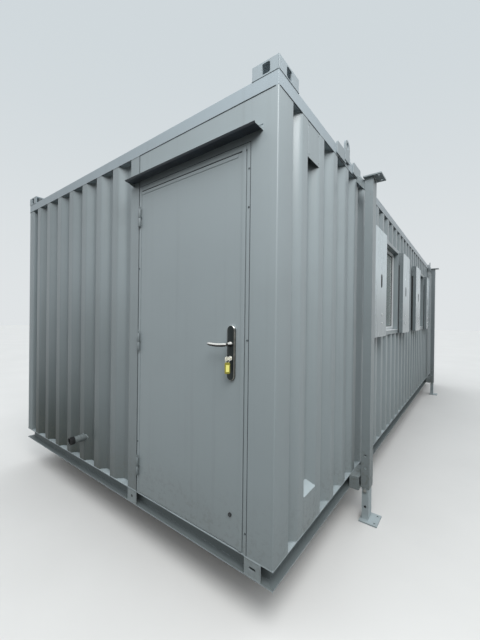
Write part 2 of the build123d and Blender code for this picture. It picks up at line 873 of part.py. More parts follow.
def window_sash(window_y):
    with BuildPart() as sash:
        with BuildSketch(Plane.YZ.offset(half_width + surround_proud - sash_setback)):
            with Locations((window_y, window_middle)):
                Rectangle(reveal_width, reveal_height)
                Rectangle(reveal_width - 2 * sash_face, reveal_height - 2 * sash_face, mode=Mode.SUBTRACT)
        extrude(amount=-sash_depth)
    return sash


def window_glass(window_y):
    glass_x = half_width + surround_proud - sash_setback - sash_depth / 2
    with BuildPart() as glass:
        with BuildSketch(Plane.YZ.offset(glass_x - glass_thickness / 2)):
            with Locations((window_y, window_middle)):
                Rectangle(reveal_width - 2 * sash_face, reveal_height - 2 * sash_face)
        extrude(amount=glass_thickness)
    return glass


# Shutters: folded steel pans laid back against the wall on knuckles beside the surround
def shutter(window_y, direction):
    inner_edge = window_y + direction * (window_width / 2 + shutter_gap)
    outer_edge = inner_edge + direction * shutter_width
    wall_side = half_width + shutter_standoff
    face = wall_side + shutter_thickness
    bottom = window_bottom
    top = window_bottom + shutter_height
    knuckle_y = inner_edge - direction * (shutter_gap - shutter_hinge_radius)
    with BuildPart() as leaf:
        with BuildSketch(Plane.YZ.offset(wall_side)):
            rectangle((inner_edge, bottom), (outer_edge, top))
        extrude(amount=shutter_thickness)
        offset(amount=-shutter_sheet, openings=leaf.faces().sort_by(Axis.X)[0])
        with BuildSketch(Plane.YZ.offset(face)):
            slot_y = inner_edge + direction * shutter_slot_inset
            with Locations((slot_y, base_bottom + shutter_slot_middle_height)):
                SlotOverall(shutter_slot_height, shutter_slot_width, rotation=90)
        extrude(amount=-shutter_sheet, mode=Mode.SUBTRACT)
        for hinge_bottom in (
            bottom + shutter_hinge_inset,
            top - shutter_hinge_inset - shutter_hinge_length,
        ):
            with BuildSketch(Plane.XY.offset(hinge_bottom)):
                with Locations((half_width + surround_proud, knuckle_y)):
                    Circle(shutter_hinge_radius)
            extrude(amount=shutter_hinge_length)
    return leaf


save(together(window_surround(window_y) for window_y in window_middles), "window_surrounds")
save(together(window_sash(window_y) for window_y in window_middles), "window_sashes")
save(together(window_glass(window_y) for window_y in window_middles), "window_glass")
for window_name, window_y in zip(("front", "rear"), window_middles):
    save(together(shutter(window_y, side) for side in (-1, 1)), f"{window_name}_window_shutters")


# Jacklegs: a fixed sleeve with its brackets, and a leg that slides in it on a foot plate
def jackleg_sleeve(side, leg_y):
    sleeve_x = side * sleeve_middle_x
    with BuildPart() as sleeve:
        with BuildSketch(Plane.XY.offset(base_bottom)):
            with Locations((sleeve_x, leg_y)):
                Rectangle(sleeve_across, sleeve_along)
                Rectangle(
                    sleeve_across - 2 * sleeve_wall,
                    sleeve_along - 2 * sleeve_wall,
                    mode=Mode.SUBTRACT,
                )
        extrude(amount=sleeve_top - base_bottom)
        with BuildSketch(elevation(leg_y)):
            with Locations([(sleeve_x, base_bottom + height) for height in sleeve_hole_heights]):
                Circle(pin_hole_radius)
        extrude(amount=sleeve_along, both=True, mode=Mode.SUBTRACT)
        with BuildSketch(Plane.XY.offset(sleeve_top)):
            jackleg_plate(side, leg_y)
        extrude(amount=plate_thickness)
    return sleeve


def jackleg_plate(side, leg_y):
    """The outline shared by the top plate and the foot plate, drilled near its outer edge."""
    inner_x = side * (sleeve_inner_x - plate_inner_overhang)
    outer_x = inner_x + side * plate_across
    rectangle((inner_x, leg_y - plate_along / 2), (outer_x, leg_y + plate_along / 2))
    with Locations((outer_x - side * plate_hole_edge, leg_y)):
        with GridLocations(0, plate_hole_spacing, 1, 2):
            Circle(plate_hole_radius, mode=Mode.SUBTRACT)


def jackleg_brackets(side, leg_y):
    wall_x = side * half_width
    sleeve_x = side * sleeve_inner_x
    half_along = lower_bracket_along / 2
    wall_top = sleeve_top + upper_bracket_wall_depth
    wall_face = wall_x + side * doubler_thickness
    step_z = rail_top - doubler_below_rail_top
    sleeve_high = wall_top - upper_bracket_drop
    sleeve_low = sleeve_high - upper_bracket_sleeve_depth
    with BuildPart() as brackets:
        with BuildSketch(Plane.YZ.offset(wall_x)):
            rectangle((leg_y - half_along, base_bottom), (leg_y + half_along, base_top))
            rectangle(
                (leg_y - half_along + bracket_plate, base_bottom + bracket_plate),
                (leg_y + half_along - bracket_plate, base_top - bracket_plate),
                mode=Mode.SUBTRACT,
            )
        extrude(amount=side * jackleg_standoff)
        with BuildSketch(elevation(leg_y)):
            Polygon(
                [
                    (wall_x, sleeve_top),
                    (wall_x, step_z),
                    (wall_face, step_z),
                    (wall_face, wall_top),
                    (sleeve_x, sleeve_high),
                    (sleeve_x, sleeve_low),
                ],
                align=None,
            )
        extrude(amount=upper_bracket_along / 2, both=True)
        with BuildSketch(elevation(leg_y)):
            Polygon(
                [
                    (wall_x, sleeve_top - bracket_plate),
                    (wall_x, sleeve_top),
                    (wall_face, step_z - bracket_plate),
                    (wall_face, wall_top - bracket_plate),
                    (sleeve_x, sleeve_high - bracket_plate),
                    (sleeve_x, sleeve_low - bracket_plate),
                ],
                align=None,
            )
        extrude(amount=upper_bracket_along / 2 - bracket_plate, both=True, mode=Mode.SUBTRACT)
    return brackets


def jackleg_leg(side, leg_y):
    leg_x = side * sleeve_middle_x
    leg_across = sleeve_across - 2 * (sleeve_wall + leg_clearance)
    leg_along = sleeve_along - 2 * (sleeve_wall + leg_clearance)
    leg_top = base_bottom + leg_engagement
    pin_z = base_bottom - pin_gap - pin_radius
    with BuildPart() as leg:
        with BuildSketch():
            jackleg_plate(side, leg_y)
        extrude(amount=plate_thickness)
        with BuildSketch(Plane.XY.offset(plate_thickness)):
            with Locations((leg_x, leg_y)):
                Rectangle(leg_across, leg_along)
                Rectangle(leg_across - 2 * leg_wall, leg_along - 2 * leg_wall, mode=Mode.SUBTRACT)
        extrude(amount=leg_top - plate_thickness)
        holes_up = int((leg_top - pin_z) // leg_hole_spacing)
        hole_heights = [pin_z + leg_hole_spacing * step for step in range(-1, holes_up + 1) if step]
        with BuildSketch(elevation(leg_y)):
            with Locations([(leg_x, height) for height in hole_heights]):
                Circle(pin_hole_radius)
        extrude(amount=leg_along, both=True, mode=Mode.SUBTRACT)
        with BuildSketch(elevation(leg_y)):
            with Locations((leg_x, pin_z)):
                Circle(pin_radius)
        extrude(amount=sleeve_along / 2 + pin_overhang, both=True)
    return leg


leg_places = [(side, end_y + inward * jackleg_inset) for side, end_y, inward in corners]
save(together(jackleg_sleeve(*place) for place in leg_places), "jackleg_sleeves")
save(together(jackleg_brackets(*place) for place in leg_places), "jackleg_brackets")
for corner_name, place in zip(("front_left", "front_right", "back_left", "back_right"), leg_places):
    save(jackleg_leg(*place), f"jackleg_{corner_name}")
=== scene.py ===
import math

import bmesh
import bpy
from mathutils import Matrix, Vector


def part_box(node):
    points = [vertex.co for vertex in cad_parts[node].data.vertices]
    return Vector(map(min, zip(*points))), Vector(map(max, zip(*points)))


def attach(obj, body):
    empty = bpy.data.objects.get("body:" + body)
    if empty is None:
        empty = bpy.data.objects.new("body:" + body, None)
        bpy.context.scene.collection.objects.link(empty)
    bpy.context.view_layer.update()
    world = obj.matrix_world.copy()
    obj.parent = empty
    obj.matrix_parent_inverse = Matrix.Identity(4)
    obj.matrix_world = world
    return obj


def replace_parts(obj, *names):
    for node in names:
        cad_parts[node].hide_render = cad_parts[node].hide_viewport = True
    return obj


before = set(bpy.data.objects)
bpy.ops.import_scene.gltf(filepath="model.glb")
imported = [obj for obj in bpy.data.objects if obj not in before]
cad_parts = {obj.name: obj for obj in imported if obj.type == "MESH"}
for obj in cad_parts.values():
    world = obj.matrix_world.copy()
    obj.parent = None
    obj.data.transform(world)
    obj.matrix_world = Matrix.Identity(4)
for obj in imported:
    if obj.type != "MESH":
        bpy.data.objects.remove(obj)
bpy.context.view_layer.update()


# Base frame: steel channels with their flanges outwards, mitred and welded at the corners.
# They are sprayed with the same satin enamel as the walls and take the splashes of the ground.
class Wire:
    """One socket of a node tree, so that its sums are written as plain expressions."""

    def __init__(self, tree, socket):
        self.tree = tree
        self.socket = socket

    def node(self, kind, values=None, output=0, **settings):
        """Any node: its type, the values or links of its sockets, then its settings."""
        made = self.tree.nodes.new(kind)
        for name, value in settings.items():
            setattr(made, name, value)
        for name, value in (values or {}).items():
            if isinstance(value, Wire):
                self.tree.links.new(value.socket, made.inputs[name])
            else:
                made.inputs[name].default_value = value
        return Wire(self.tree, made.outputs[output] if made.outputs else None)

    def math(self, operation, *numbers):
        return self.node("ShaderNodeMath", dict(enumerate(numbers)), operation=operation)

    def __add__(self, other):
        return self.math("ADD", self, other)

    def __sub__(self, other):
        return self.math("SUBTRACT", self, other)

    def __rsub__(self, other):
        return self.math("SUBTRACT", other, self)

    def __mul__(self, other):
        return self.math("MULTIPLY", self, other)

    def __truediv__(self, other):
        return self.math("DIVIDE", self, other)

    __radd__ = __add__
    __rmul__ = __mul__


def shade(red, green, blue):
    """A display colour of 0 to 255 as the linear colour that a shader takes."""
    linear = []
    for level in (red, green, blue):
        level /= 255
        linear.append(level / 12.92 if level <= 0.04045 else ((level + 0.055) / 1.055) ** 2.4)
    return (*linear, 1.0)


def start_finish(name):
    """A new material and the wire of its object coordinates, which are metres in the frame."""
    material = bpy.data.materials.new(name)
    material.use_nodes = True
    material.node_tree.nodes.clear()
    return material, Wire(material.node_tree, None).node("ShaderNodeTexCoord", output=3)


def end_finish(material, colour, roughness, height=None, constants=None):
    """Closes a material with its shader; the height, in metres, becomes bump."""
    sockets = {"Base Color": colour, "Roughness": roughness, **(constants or {})}
    if height:
        sockets["Normal"] = height.node("ShaderNodeBump", {"Height": height, "Distance": 1.0, "Strength": 1.0})
    shader = colour.node("ShaderNodeBsdfPrincipled", sockets)
    colour.node("ShaderNodeOutputMaterial", {"Surface": shader})
    return material


def part_of(vector, axis):
    return vector.node("ShaderNodeSeparateXYZ", {"Vector": vector}, "XYZ".index(axis))


def facing_of(place, axis):
    """How far the surface faces along an axis, from -1 to 1."""
    return part_of(place.node("ShaderNodeNewGeometry", output=1), axis)


def stretched(place, scale):
    return place.node("ShaderNodeMapping", {"Vector": place, "Scale": scale})


def cloud(place, scale, detail=3.0, roughness=0.5):
    values = {"Vector": place, "Scale": scale, "Detail": detail, "Roughness": roughness}
    return place.node("ShaderNodeTexNoise", values)


def fade(value, low, high):
    """0 below low and 1 above high, with a soft step between them."""
    return value.node("ShaderNodeMapRange", {0: value, 1: low, 2: high}, interpolation_type="SMOOTHSTEP")


def blend(mask, first, second):
    return mask.node("ShaderNodeMix", {0: mask, 6: first, 7: second}, 2, data_type="RGBA")


def tint(colour, factor):
    return (*(min(1.0, level * factor) for level in colour[:3]), 1.0)


def enamel(
    name, colour, dust=0.2, splash=0.35, scuffs=0.1, rust=0.0, gloss=0.3, dirt_and_shade_band=None, painted_shade_strength=0.3, painted_shade_colour=(90, 98, 94),
    painted_shadow_span=None,
):
    """Satin enamel sprayed on steel: orange peel, run-down dust, ground splashes, scuffs and rust.

    A painted shade in its own colour darkens the paint towards the ground, as strong as its strength,
    and along X it weakens by almost half between the two places of its span, a painted shadow to one side.
    Between a band's two heights the paint is darker, settled dirt and painted shade, and outside them lighter, a
    painted highlight.
    """
    material, place = start_finish(name)
    height = part_of(place, "Z")
    base = blend(fade(cloud(place, 0.9, 4.0), 0.3, 0.7), tint(colour, 0.965), tint(colour, 1.03))
    runs = fade(cloud(stretched(place, (21.0, 21.0, 0.55)), 1.0, 5.0, 0.62), 0.5, 0.82)
    patches = fade(cloud(place, 3.1, 5.0, 0.6), 0.42, 0.72)
    grime = runs * dust + patches * (0.4 * dust)
    near_ground = 1.0 - fade(height + cloud(place, 5.0, 3.0) * 0.3, 0.3, 0.95)
    droplets = fade(cloud(place, 38.0, 4.0, 0.7), 0.5, 0.62)
    splashes = near_ground * (0.35 + 0.65 * droplets) * splash
    painted_shade_film = 1.0 - fade(height + cloud(place, 0.8, 2.0) * 0.8, 0.2, 2.6)
    if painted_shadow_span:
        painted_shade_film = painted_shade_film * (1.0 - 0.45 * fade(part_of(place, "X"), *painted_shadow_span))
    # Painted shade: darker towards the ground, weaker along X past a span if one is given.
    base = blend(painted_shade_film * painted_shade_strength, base, shade(*painted_shade_colour))
    base = blend(grime, base, shade(112, 118, 116))
    base = blend(splashes, base, shade(96, 94, 84))
    # Settled dirt and painted shade between a band's heights; outside it the paint is lightened, a painted highlight
    # on the edges.
    if dirt_and_shade_band:
        low, high = dirt_and_shade_band
        inside = fade(height, low, low + 0.002) * (1.0 - fade(height, high - 0.002, high))
        edges = blend(0.35 + 0.3 * patches, base, tint(colour, 1.45))
        base = blend(inside * 0.85, edges, shade(82, 89, 89))
    scratch_lines = fade(cloud(stretched(place, (3.0, 3.0, 60.0)), 2.4, 6.0, 0.72), 0.66, 0.72)
    chips = fade(cloud(place, 55.0, 5.0, 0.75), 0.70, 0.735)
    worn = scratch_lines * (0.5 * scuffs) + chips * scuffs
    base = blend(worn, base, shade(186, 190, 190))
    if rust:
        bloom = fade(cloud(place, 26.0, 6.0, 0.7), 0.62 - 0.1 * rust, 0.75) * rust
        base = blend(bloom, base, shade(112, 66, 38))
        worn = worn + bloom
    peel = cloud(place, 310.0, 2.0) * 0.00005
    ripple = cloud(stretched(place, (1.0, 1.0, 0.6)), 2.6, 2.0) * 0.0016
    sheen = gloss + 0.22 * grime + 0.26 * painted_shade_film + 0.2 * splashes + 0.12 * worn
    return end_finish(material, base, sheen, peel + ripple - worn * 0.0001, {"Specular IOR Level": 0.5})


cabin_grey = shade(150, 160, 163)
wall_paint = enamel("wall enamel", cabin_grey)
base_low, base_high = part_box("base_channel_left")[0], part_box("base_channel_right")[1]
# The channels' web is darkened, settled dirt and painted shade under the top flange; the flanges outside it are
# lightened, a painted highlight.
web_dirt_and_shade_heights = (base_low.z + 0.0045, base_high.z - 0.0055)
base_paint = enamel("base frame enamel", tint(cabin_grey, 1.0), 0.2, 0.3, 0.3, 0.12, dirt_and_shade_band=web_dirt_and_shade_heights)
plate_paint = enamel("tie plate enamel", tint(cabin_grey, 0.95), dust=0.2, splash=0.3, scuffs=0.3, rust=0.12)


def add_object(name, data):
    thing = bpy.data.objects.new(name, data)
    bpy.context.scene.collection.objects.link(thing)
    return thing


def add_modifiers(thing, modifiers):
    """Adds (type, settings) modifiers in their order."""
    for kind, settings in modifiers:
        modifier = thing.modifiers.new(kind.lower(), kind)
        for name, value in settings.items():
            setattr(modifier, name, value)


def dress(names, material, ease=0.0):
    """Gives CAD nodes a finish and, if asked, eased edges of that radius."""
    folds = {"limit_method": "ANGLE", "angle_limit": math.radians(35), "harden_normals": True}
    easing = [
        ("WELD", {"merge_threshold": 0.00002}),
        ("DECIMATE", {"decimate_type": "DISSOLVE", "angle_limit": math.radians(1.0)}),
        ("BEVEL", {"width": ease, "segments": 2, **folds}),
    ]
    for name in names:
        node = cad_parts[name]
        node.data.materials.clear()
        node.data.materials.append(material)
        if ease:
            add_modifiers(node, easing)


def place_mesh(name, mesh, material, body, angle=38.0):
    """Puts a finished mesh in the scene on its body, smooth between its sharp edges."""
    name = name.replace(" ", "_")
    mesh.name = name
    mesh.shade_smooth()
    mesh.set_sharp_from_angle(angle=math.radians(angle))
    mesh.materials.clear()
    mesh.materials.append(material)
    piece = add_object(name, mesh)
    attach(piece, body)
    return piece


def to_mesh(name, shape):
    mesh = bpy.data.meshes.new(name)
    shape.to_mesh(mesh)
    shape.free()
    return mesh


def clean(shape):
    """Merges the doubles of a bmesh and turns its faces outwards."""
    bmesh.ops.remove_doubles(shape, verts=shape.verts, dist=0.00001)
    bmesh.ops.recalc_face_normals(shape, faces=shape.faces)


def close_shape(name, shape, material, body, angle=38.0):
    """Turns a bmesh into a finished piece."""
    clean(shape)
    return place_mesh(name, to_mesh(name, shape), material, body, angle)


def shape_tree(name, inputs):
    """A Geometry Nodes tree with named inputs, and a wire for each of them."""
    tree = bpy.data.node_groups.new(name, "GeometryNodeTree")
    tree.interface.new_socket("Geometry", in_out="OUTPUT", socket_type="NodeSocketGeometry")
    inputs = {"Geometry": "Geometry", **inputs, "Material": "Material"}
    for label, kind in inputs.items():
        tree.interface.new_socket(label, in_out="INPUT", socket_type=f"NodeSocket{kind}")
    source = tree.nodes.new("NodeGroupInput")
    return tree, {label: Wire(tree, source.outputs[label]) for label in inputs}


def end_tree(tree, geometry, material):
    """Realizes the instances, gives the material and closes the tree."""
    real = geometry.node("GeometryNodeRealizeInstances", {"Geometry": geometry})
    dressed = geometry.node("GeometryNodeSetMaterial", {"Geometry": real, "Material": material})
    geometry.node("NodeGroupOutput", {"Geometry": dressed})


def grow(tree, values, mesh=None, finishing=()):
    """The plain mesh that a tree makes, with modifiers such as a thickness added after it."""
    carrier = add_object(tree.name, mesh or bpy.data.meshes.new(tree.name))
    nodes = carrier.modifiers.new(tree.name, "NODES")
    nodes.node_group = tree
    for item in tree.interface.items_tree:
        if item.in_out == "INPUT" and item.name in values:
            nodes[item.identifier] = values[item.name]
    add_modifiers(carrier, finishing)
    depsgraph = bpy.context.evaluated_depsgraph_get()
    made = bpy.data.meshes.new_from_object(carrier.evaluated_get(depsgraph))
    bpy.data.objects.remove(carrier)
    shape = bmesh.new()
    shape.from_mesh(made)
    clean(shape)
    shape.to_mesh(made)
    shape.free()
    return made


def cord_tree(name, sides, swell):
    """A tree that sweeps a round cord along edges, thicker or thinner by the swell at each point."""
    tree, cord = shape_tree(name, {"Radius": "Float", "Step": "Float"})
    line = cord["Geometry"].node("GeometryNodeMeshToCurve", {"Mesh": cord["Geometry"]})
    line = line.node("GeometryNodeResampleCurve", {"Curve": line, "Length": cord["Step"]}, mode="LENGTH")
    circle = line.node("GeometryNodeCurvePrimitiveCircle", {"Resolution": sides, "Radius": 1.0})
    values = {"Curve": line, "Profile Curve": circle, "Scale": cord["Radius"] * swell(line), "Fill Caps": True}
    end_tree(tree, line.node("GeometryNodeCurveToMesh", values), cord["Material"])
    return tree


def weld_ripples(line):
    """The ripples of a weld: every third point is thicker."""
    third = line.math("MODULO", line.node("GeometryNodeInputIndex"), 3.0)
    return 0.85 + 0.3 * line.math("COMPARE", third, 1.0, 0.1)


def line_mesh(runs):
    """Edges along each run of points, for a tree to follow; a closed run repeats its first point."""
    points = [point for run in runs for point in run]
    edges = []
    first = 0
    for run in runs:
        edges.extend((first + step, first + step + 1) for step in range(len(run) - 1))
        first += len(run)
    mesh = bpy.data.meshes.new("runs")
    mesh.from_pydata(points, edges, [])
    return mesh


def cords(name, tree, runs, radius, step, material, body):
    """Cords of that radius along runs of points, resampled at that step."""
    values = {"Radius": radius, "Step": step, "Material": material}
    return place_mesh(name, grow(tree, values, line_mesh(runs)), material, body, 60.0)


bead_tree = cord_tree("weld bead", 6, weld_ripples)


def weld(name, runs, body="cabin", radius=0.003, ripple=0.006, material=wall_paint):
    """Fillet welds along runs of points, painted over like the steel that they join."""
    return cords(name, bead_tree, runs, radius, ripple / 3, material, body)


def rectangle(axis, level, low, high):
    """A closed loop of points between two corners, square to an axis at that level."""
    turns = [(low[0], low[1]), (high[0], low[1]), (high[0], high[1]), (low[0], high[1]), (low[0], low[1])]
    place = "XYZ".index(axis)
    return [(*turn[:place], level, *turn[place:]) for turn in turns]


def plug(shape, centre, radius, depth, segments):
    """Adds a round plug along Y to a bmesh, its middle at centre."""
    matrix = Matrix.Translation(centre) @ Matrix.Rotation(math.pi / 2, 4, "X")
    size = {"segments": segments, "radius1": radius, "radius2": radius, "depth": depth}
    bmesh.ops.create_cone(shape, cap_ends=True, matrix=matrix, **size)


dress([f"base_channel_{side}" for side in ("front", "back", "left", "right")], base_paint, 0.0016)
dress(["tie_plates"], plate_paint, 0.001)
plates_low, plates_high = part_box("tie_plates")
plate_width = 0.096
tie_runs = []
for start in (plates_low.x, plates_high.x - plate_width):
    tie_runs.append(rectangle("Y", plates_low.y + 0.001, (start, plates_low.z), (start + plate_width, plates_high.z)))
weld("tie plate welds", tie_runs, material=plate_paint)
# A near-black disc set into the tie-down hole is painted shade inside the hole.
hole_painted_shade = bmesh.new()
hole_middle = (plates_low.x + plate_width / 2, plates_low.y + 0.0035, (plates_low.z + plates_high.z) / 2)
plug(hole_painted_shade, hole_middle, 0.0099, 0.004, 24)
hole_shade_paint = enamel("packed dirt", shade(36, 36, 34), dust=0.0, splash=0.0, scuffs=0.0, gloss=0.7, painted_shade_strength=0.0)
close_shape("dirt in the drilled hole", hole_painted_shade, hole_shade_paint, "cabin")
flange = 0.046
mitre_runs = []
for corner_x in (base_low.x, base_high.x):
    for corner_y in (base_low.y, base_high.y):
        for mitre_z in (base_low.z - 0.0005, base_high.z + 0.0005):
            start = Vector((corner_x, corner_y, mitre_z))
            inwards = Vector((math.copysign(flange, -corner_x), math.copysign(flange, -corner_y), 0))
            mitre_runs.append([start, start + inwards])
weld("base mitre welds", mitre_runs, radius=0.0025, material=base_paint)


# Floor: a board deck with a vinyl sheet glued on top, on folded steel joists in red-brown primer.
# The joists are welded between the side channels and never see the enamel.
def primer(name):
    material, place = start_finish(name)
    patches = fade(cloud(place, 4.0, 5.0, 0.6), 0.35, 0.65)
    base = blend(patches, shade(92, 60, 50), shade(110, 78, 64))
    return end_finish(material, base, 0.62 + 0.2 * patches, cloud(place, 200.0) * 0.0001)


def floor_board():
    """Vinyl with fine flecks above, the bare plywood of the deck below and at the edges."""
    material, place = start_finish("vinyl on plywood")
    flecks = fade(cloud(place, 420.0, 2.0, 0.6), 0.52, 0.6)
    wear = fade(cloud(place, 1.6, 4.0), 0.4, 0.7)
    vinyl = blend(flecks, blend(wear, shade(112, 114, 114), shade(128, 129, 127)), shade(156, 158, 156))
    grain = cloud(stretched(place, (1.2, 26.0, 26.0)), 6.0, 5.0, 0.65)
    plywood = blend(fade(grain, 0.35, 0.7), shade(176, 140, 98), shade(132, 98, 62))
    upwards = fade(facing_of(place, "Z"), 0.5, 0.6)
    height = flecks * 0.00004 + grain * 0.0003 * (1.0 - upwards)
    return end_finish(material, blend(upwards, plywood, vinyl), 0.7 - 0.28 * upwards + 0.1 * wear, height)


dress(["floor_joists"], primer("joist primer"))
dress(["floor_deck"], floor_board())


# Corner posts: folded sheet angles whose edges return to the floor of the first trough.
# The folds have a press-brake radius; top and bottom are welded to the rail and the channel.
def raised(line, height):
    """The sheet that edges sweep when they are drawn up by that height."""
    offset = line.node("ShaderNodeCombineXYZ", {2: height})
    return line.node("GeometryNodeExtrudeMesh", {"Mesh": line, "Offset": offset, "Offset Scale": 1.0}, mode="EDGES")


fold_tree, fold = shape_tree("folded sheet", {"Fold radius": "Float", "Height": "Float"})
fold_line = fold["Geometry"].node("GeometryNodeMeshToCurve", {"Mesh": fold["Geometry"]})
fold_values = {"Curve": fold_line, "Count": 5, "Radius": fold["Fold radius"], "Limit Radius": True}
fold_line = fold_line.node("GeometryNodeFilletCurve", fold_values, mode="POLY")
fold_edge = fold_line.node("GeometryNodeCurveToMesh", {"Curve": fold_line})
end_tree(fold_tree, raised(fold_edge, fold["Height"]), fold["Material"])
post_paint = enamel("post enamel", cabin_grey, dust=0.16, splash=0.3, scuffs=0.15, rust=0.04, gloss=0.4)
posts_low, posts_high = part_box("corner_posts")
post_thickness = 0.003
post_end_leg = 0.102
post_side_leg = 0.153
skin_depth = 0.047


def post_outline(side, end_y, inward):
    """Middle line of one folded post in plan; the one by the door runs on as the flat pan."""
    half = post_thickness / 2
    corner_x = side * (posts_high.x - half)
    corner_y = end_y + inward * half
    end_x = side * (posts_high.x - post_end_leg + half)
    side_y = end_y + inward * (post_side_leg - half)
    plan = [
        (end_x, end_y + inward * skin_depth),
        (end_x, corner_y),
        (corner_x, corner_y),
        (corner_x, side_y),
        (side * (posts_high.x - skin_depth), side_y),
    ]
    if side > 0 and inward > 0:
        plan[:2] = [(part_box("beside_door_panel")[0].x, corner_y)]
    return [(x, y, posts_low.z) for x, y in plan]


corners = [(-1, posts_low.y, 1), (1, posts_low.y, 1), (-1, posts_high.y, -1), (1, posts_high.y, -1)]
post_values = {"Fold radius": 0.0055, "Height": posts_high.z - posts_low.z, "Material": post_paint}
post_runs = line_mesh([post_outline(*corner) for corner in corners])
post_finishing = [("SOLIDIFY", {"thickness": post_thickness, "offset": 0.0})]
post_mesh = grow(fold_tree, post_values, post_runs, post_finishing)
post_piece = place_mesh("folded corner posts", post_mesh, post_paint, "cabin")
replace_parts(post_piece, "corner_posts", "beside_door_panel")


# Wall skins: sheets of 2 mm steel pressed into troughs, seam-welded to the rail and the base.
# The window wall is cut for its two frames and the door end for the waste pipe.
sheet_floats = ["Start", "End", "First trough", "Last trough end", "Pitch", "Trough"]
sheet_floats += ["Slope", "Depth", "Height", "Turn"]
sheet_step = 0.0052
flank_softness = 0.34
sheet_tree, sheet = shape_tree("corrugated sheet", {**dict.fromkeys(sheet_floats, "Float"), "Corner": "Vector"})
root = sheet["Start"]
sheet_ends = {
    "Resolution": sheet_step,
    "Start Location": root.node("ShaderNodeCombineXYZ", {0: sheet["Start"]}),
    "Offset": root.node("ShaderNodeCombineXYZ", {0: sheet["End"]}),
}
sheet_line = root.node("GeometryNodeMeshLine", sheet_ends, mode="END_POINTS", count_mode="RESOLUTION")
along = part_of(root.node("GeometryNodeInputPosition"), "X")
half_trough, half_pitch = sheet["Trough"] / 2.0, sheet["Pitch"] / 2.0
wrapped = root.math("FLOORED_MODULO", along - sheet["First trough"] - half_trough + half_pitch, sheet["Pitch"])
reach = root.math("ABSOLUTE", wrapped - half_pitch)
flank = root.math("SMOOTH_MIN", (half_trough - reach) / sheet["Slope"], 1.0, flank_softness)
flank = root.math("SMOOTH_MAX", flank, 0.0, flank_softness)
inside = root.math("LESS_THAN", along, sheet["Last trough end"] + 0.01)
sheet_place = root.node("ShaderNodeCombineXYZ", {0: along, 1: flank * inside * sheet["Depth"]})
sheet_line = root.node("GeometryNodeSetPosition", {"Geometry": sheet_line, "Position": sheet_place})
sheet_turn = root.node("ShaderNodeCombineXYZ", {2: sheet["Turn"]})
sheet_moves = {"Translation": sheet["Corner"], "Rotation": sheet_turn}
sheet_skin = raised(sheet_line, sheet["Height"])
sheet_skin = root.node("GeometryNodeTransform", {"Geometry": sheet_skin, **sheet_moves})
end_tree(sheet_tree, sheet_skin, sheet["Material"])

cabin_width = posts_high.x - posts_low.x
cabin_length = posts_high.y - posts_low.y
wall_bottom, wall_top = posts_low.z, posts_high.z
trough_width = 0.160
trough_depth = 0.045
trough_slope = 0.044
nominal_pitch = 0.236


def even_pitch(first, last_end):
    """The spacing that spreads whole troughs evenly from first to last_end."""
    run = last_end - trough_width - first
    return run / round(run / nominal_pitch)


def cube(shape, low, high):
    """Adds a block between two corners to a bmesh and gives its edges."""
    low, high = Vector(low), Vector(high)
    matrix = Matrix.Translation((low + high) / 2) @ Matrix.Diagonal((*(high - low), 1.0))
    made = bmesh.ops.create_cube(shape, size=1.0, matrix=matrix)
    return list({edge for vertex in made["verts"] for edge in vertex.link_edges})


def wall_sheet(name, node, wall, holes=None, paint=wall_paint):
    """The sheet of one wall, with holes, a bmesh of blocks and plugs, cut out of it."""
    corner, turn, start, end, first, last_end = wall
    values = {
        "Start": start,
        "End": end,
        "First trough": first,
        "Last trough end": last_end,
        "Pitch": even_pitch(first, last_end),
        "Trough": trough_width,
        "Slope": trough_slope,
        "Depth": trough_depth,
        "Height": wall_top - wall_bottom,
        "Corner": corner,
        "Turn": math.radians(turn),
        "Material": paint,
    }
    finishing = [("SOLIDIFY", {"thickness": 0.002, "offset": -1.0})]
    if holes is not None:
        cutter = add_object("cutter", to_mesh("cutter", holes))
        finishing.append(("BOOLEAN", {"operation": "DIFFERENCE", "solver": "EXACT", "object": cutter}))
    piece = place_mesh(name, grow(sheet_tree, values, finishing=finishing), paint, "cabin", 50.0)
    if holes is not None:
        bpy.data.objects.remove(cutter)
    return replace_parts(piece, node)


side_first = 0.091
end_first = 0.047
door_strip = 0.104
underside = 0.25
frame_low, frame_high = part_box("door_frame")
front_end = frame_low.x - posts_low.x
side_values = (post_side_leg, cabin_length - post_side_leg, side_first, cabin_length - side_first)
end_values = (post_end_leg, cabin_width - post_end_leg, end_first, cabin_width - end_first)
front_values = (post_end_leg, front_end, end_first, front_end - door_strip)
front_wall = ((posts_low.x, posts_low.y, wall_bottom), 0, *front_values)
window_wall = ((posts_high.x, posts_low.y, wall_bottom), 90, *side_values)
back_wall = ((posts_high.x, posts_high.y, wall_bottom), 180, *end_values)
far_wall = ((posts_low.x, posts_high.y, wall_bottom), -90, *side_values)
pipe_low, pipe_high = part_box("waste_pipe")
pipe_x = (pipe_low.x + pipe_high.x) / 2
pipe_radius = (pipe_high.x - pipe_low.x) / 2
pipe_z = underside + 0.293
pipe_hole = bmesh.new()
plug(pipe_hole, (pipe_x, posts_low.y + trough_depth, pipe_z), pipe_radius + 0.001, 0.2, 32)
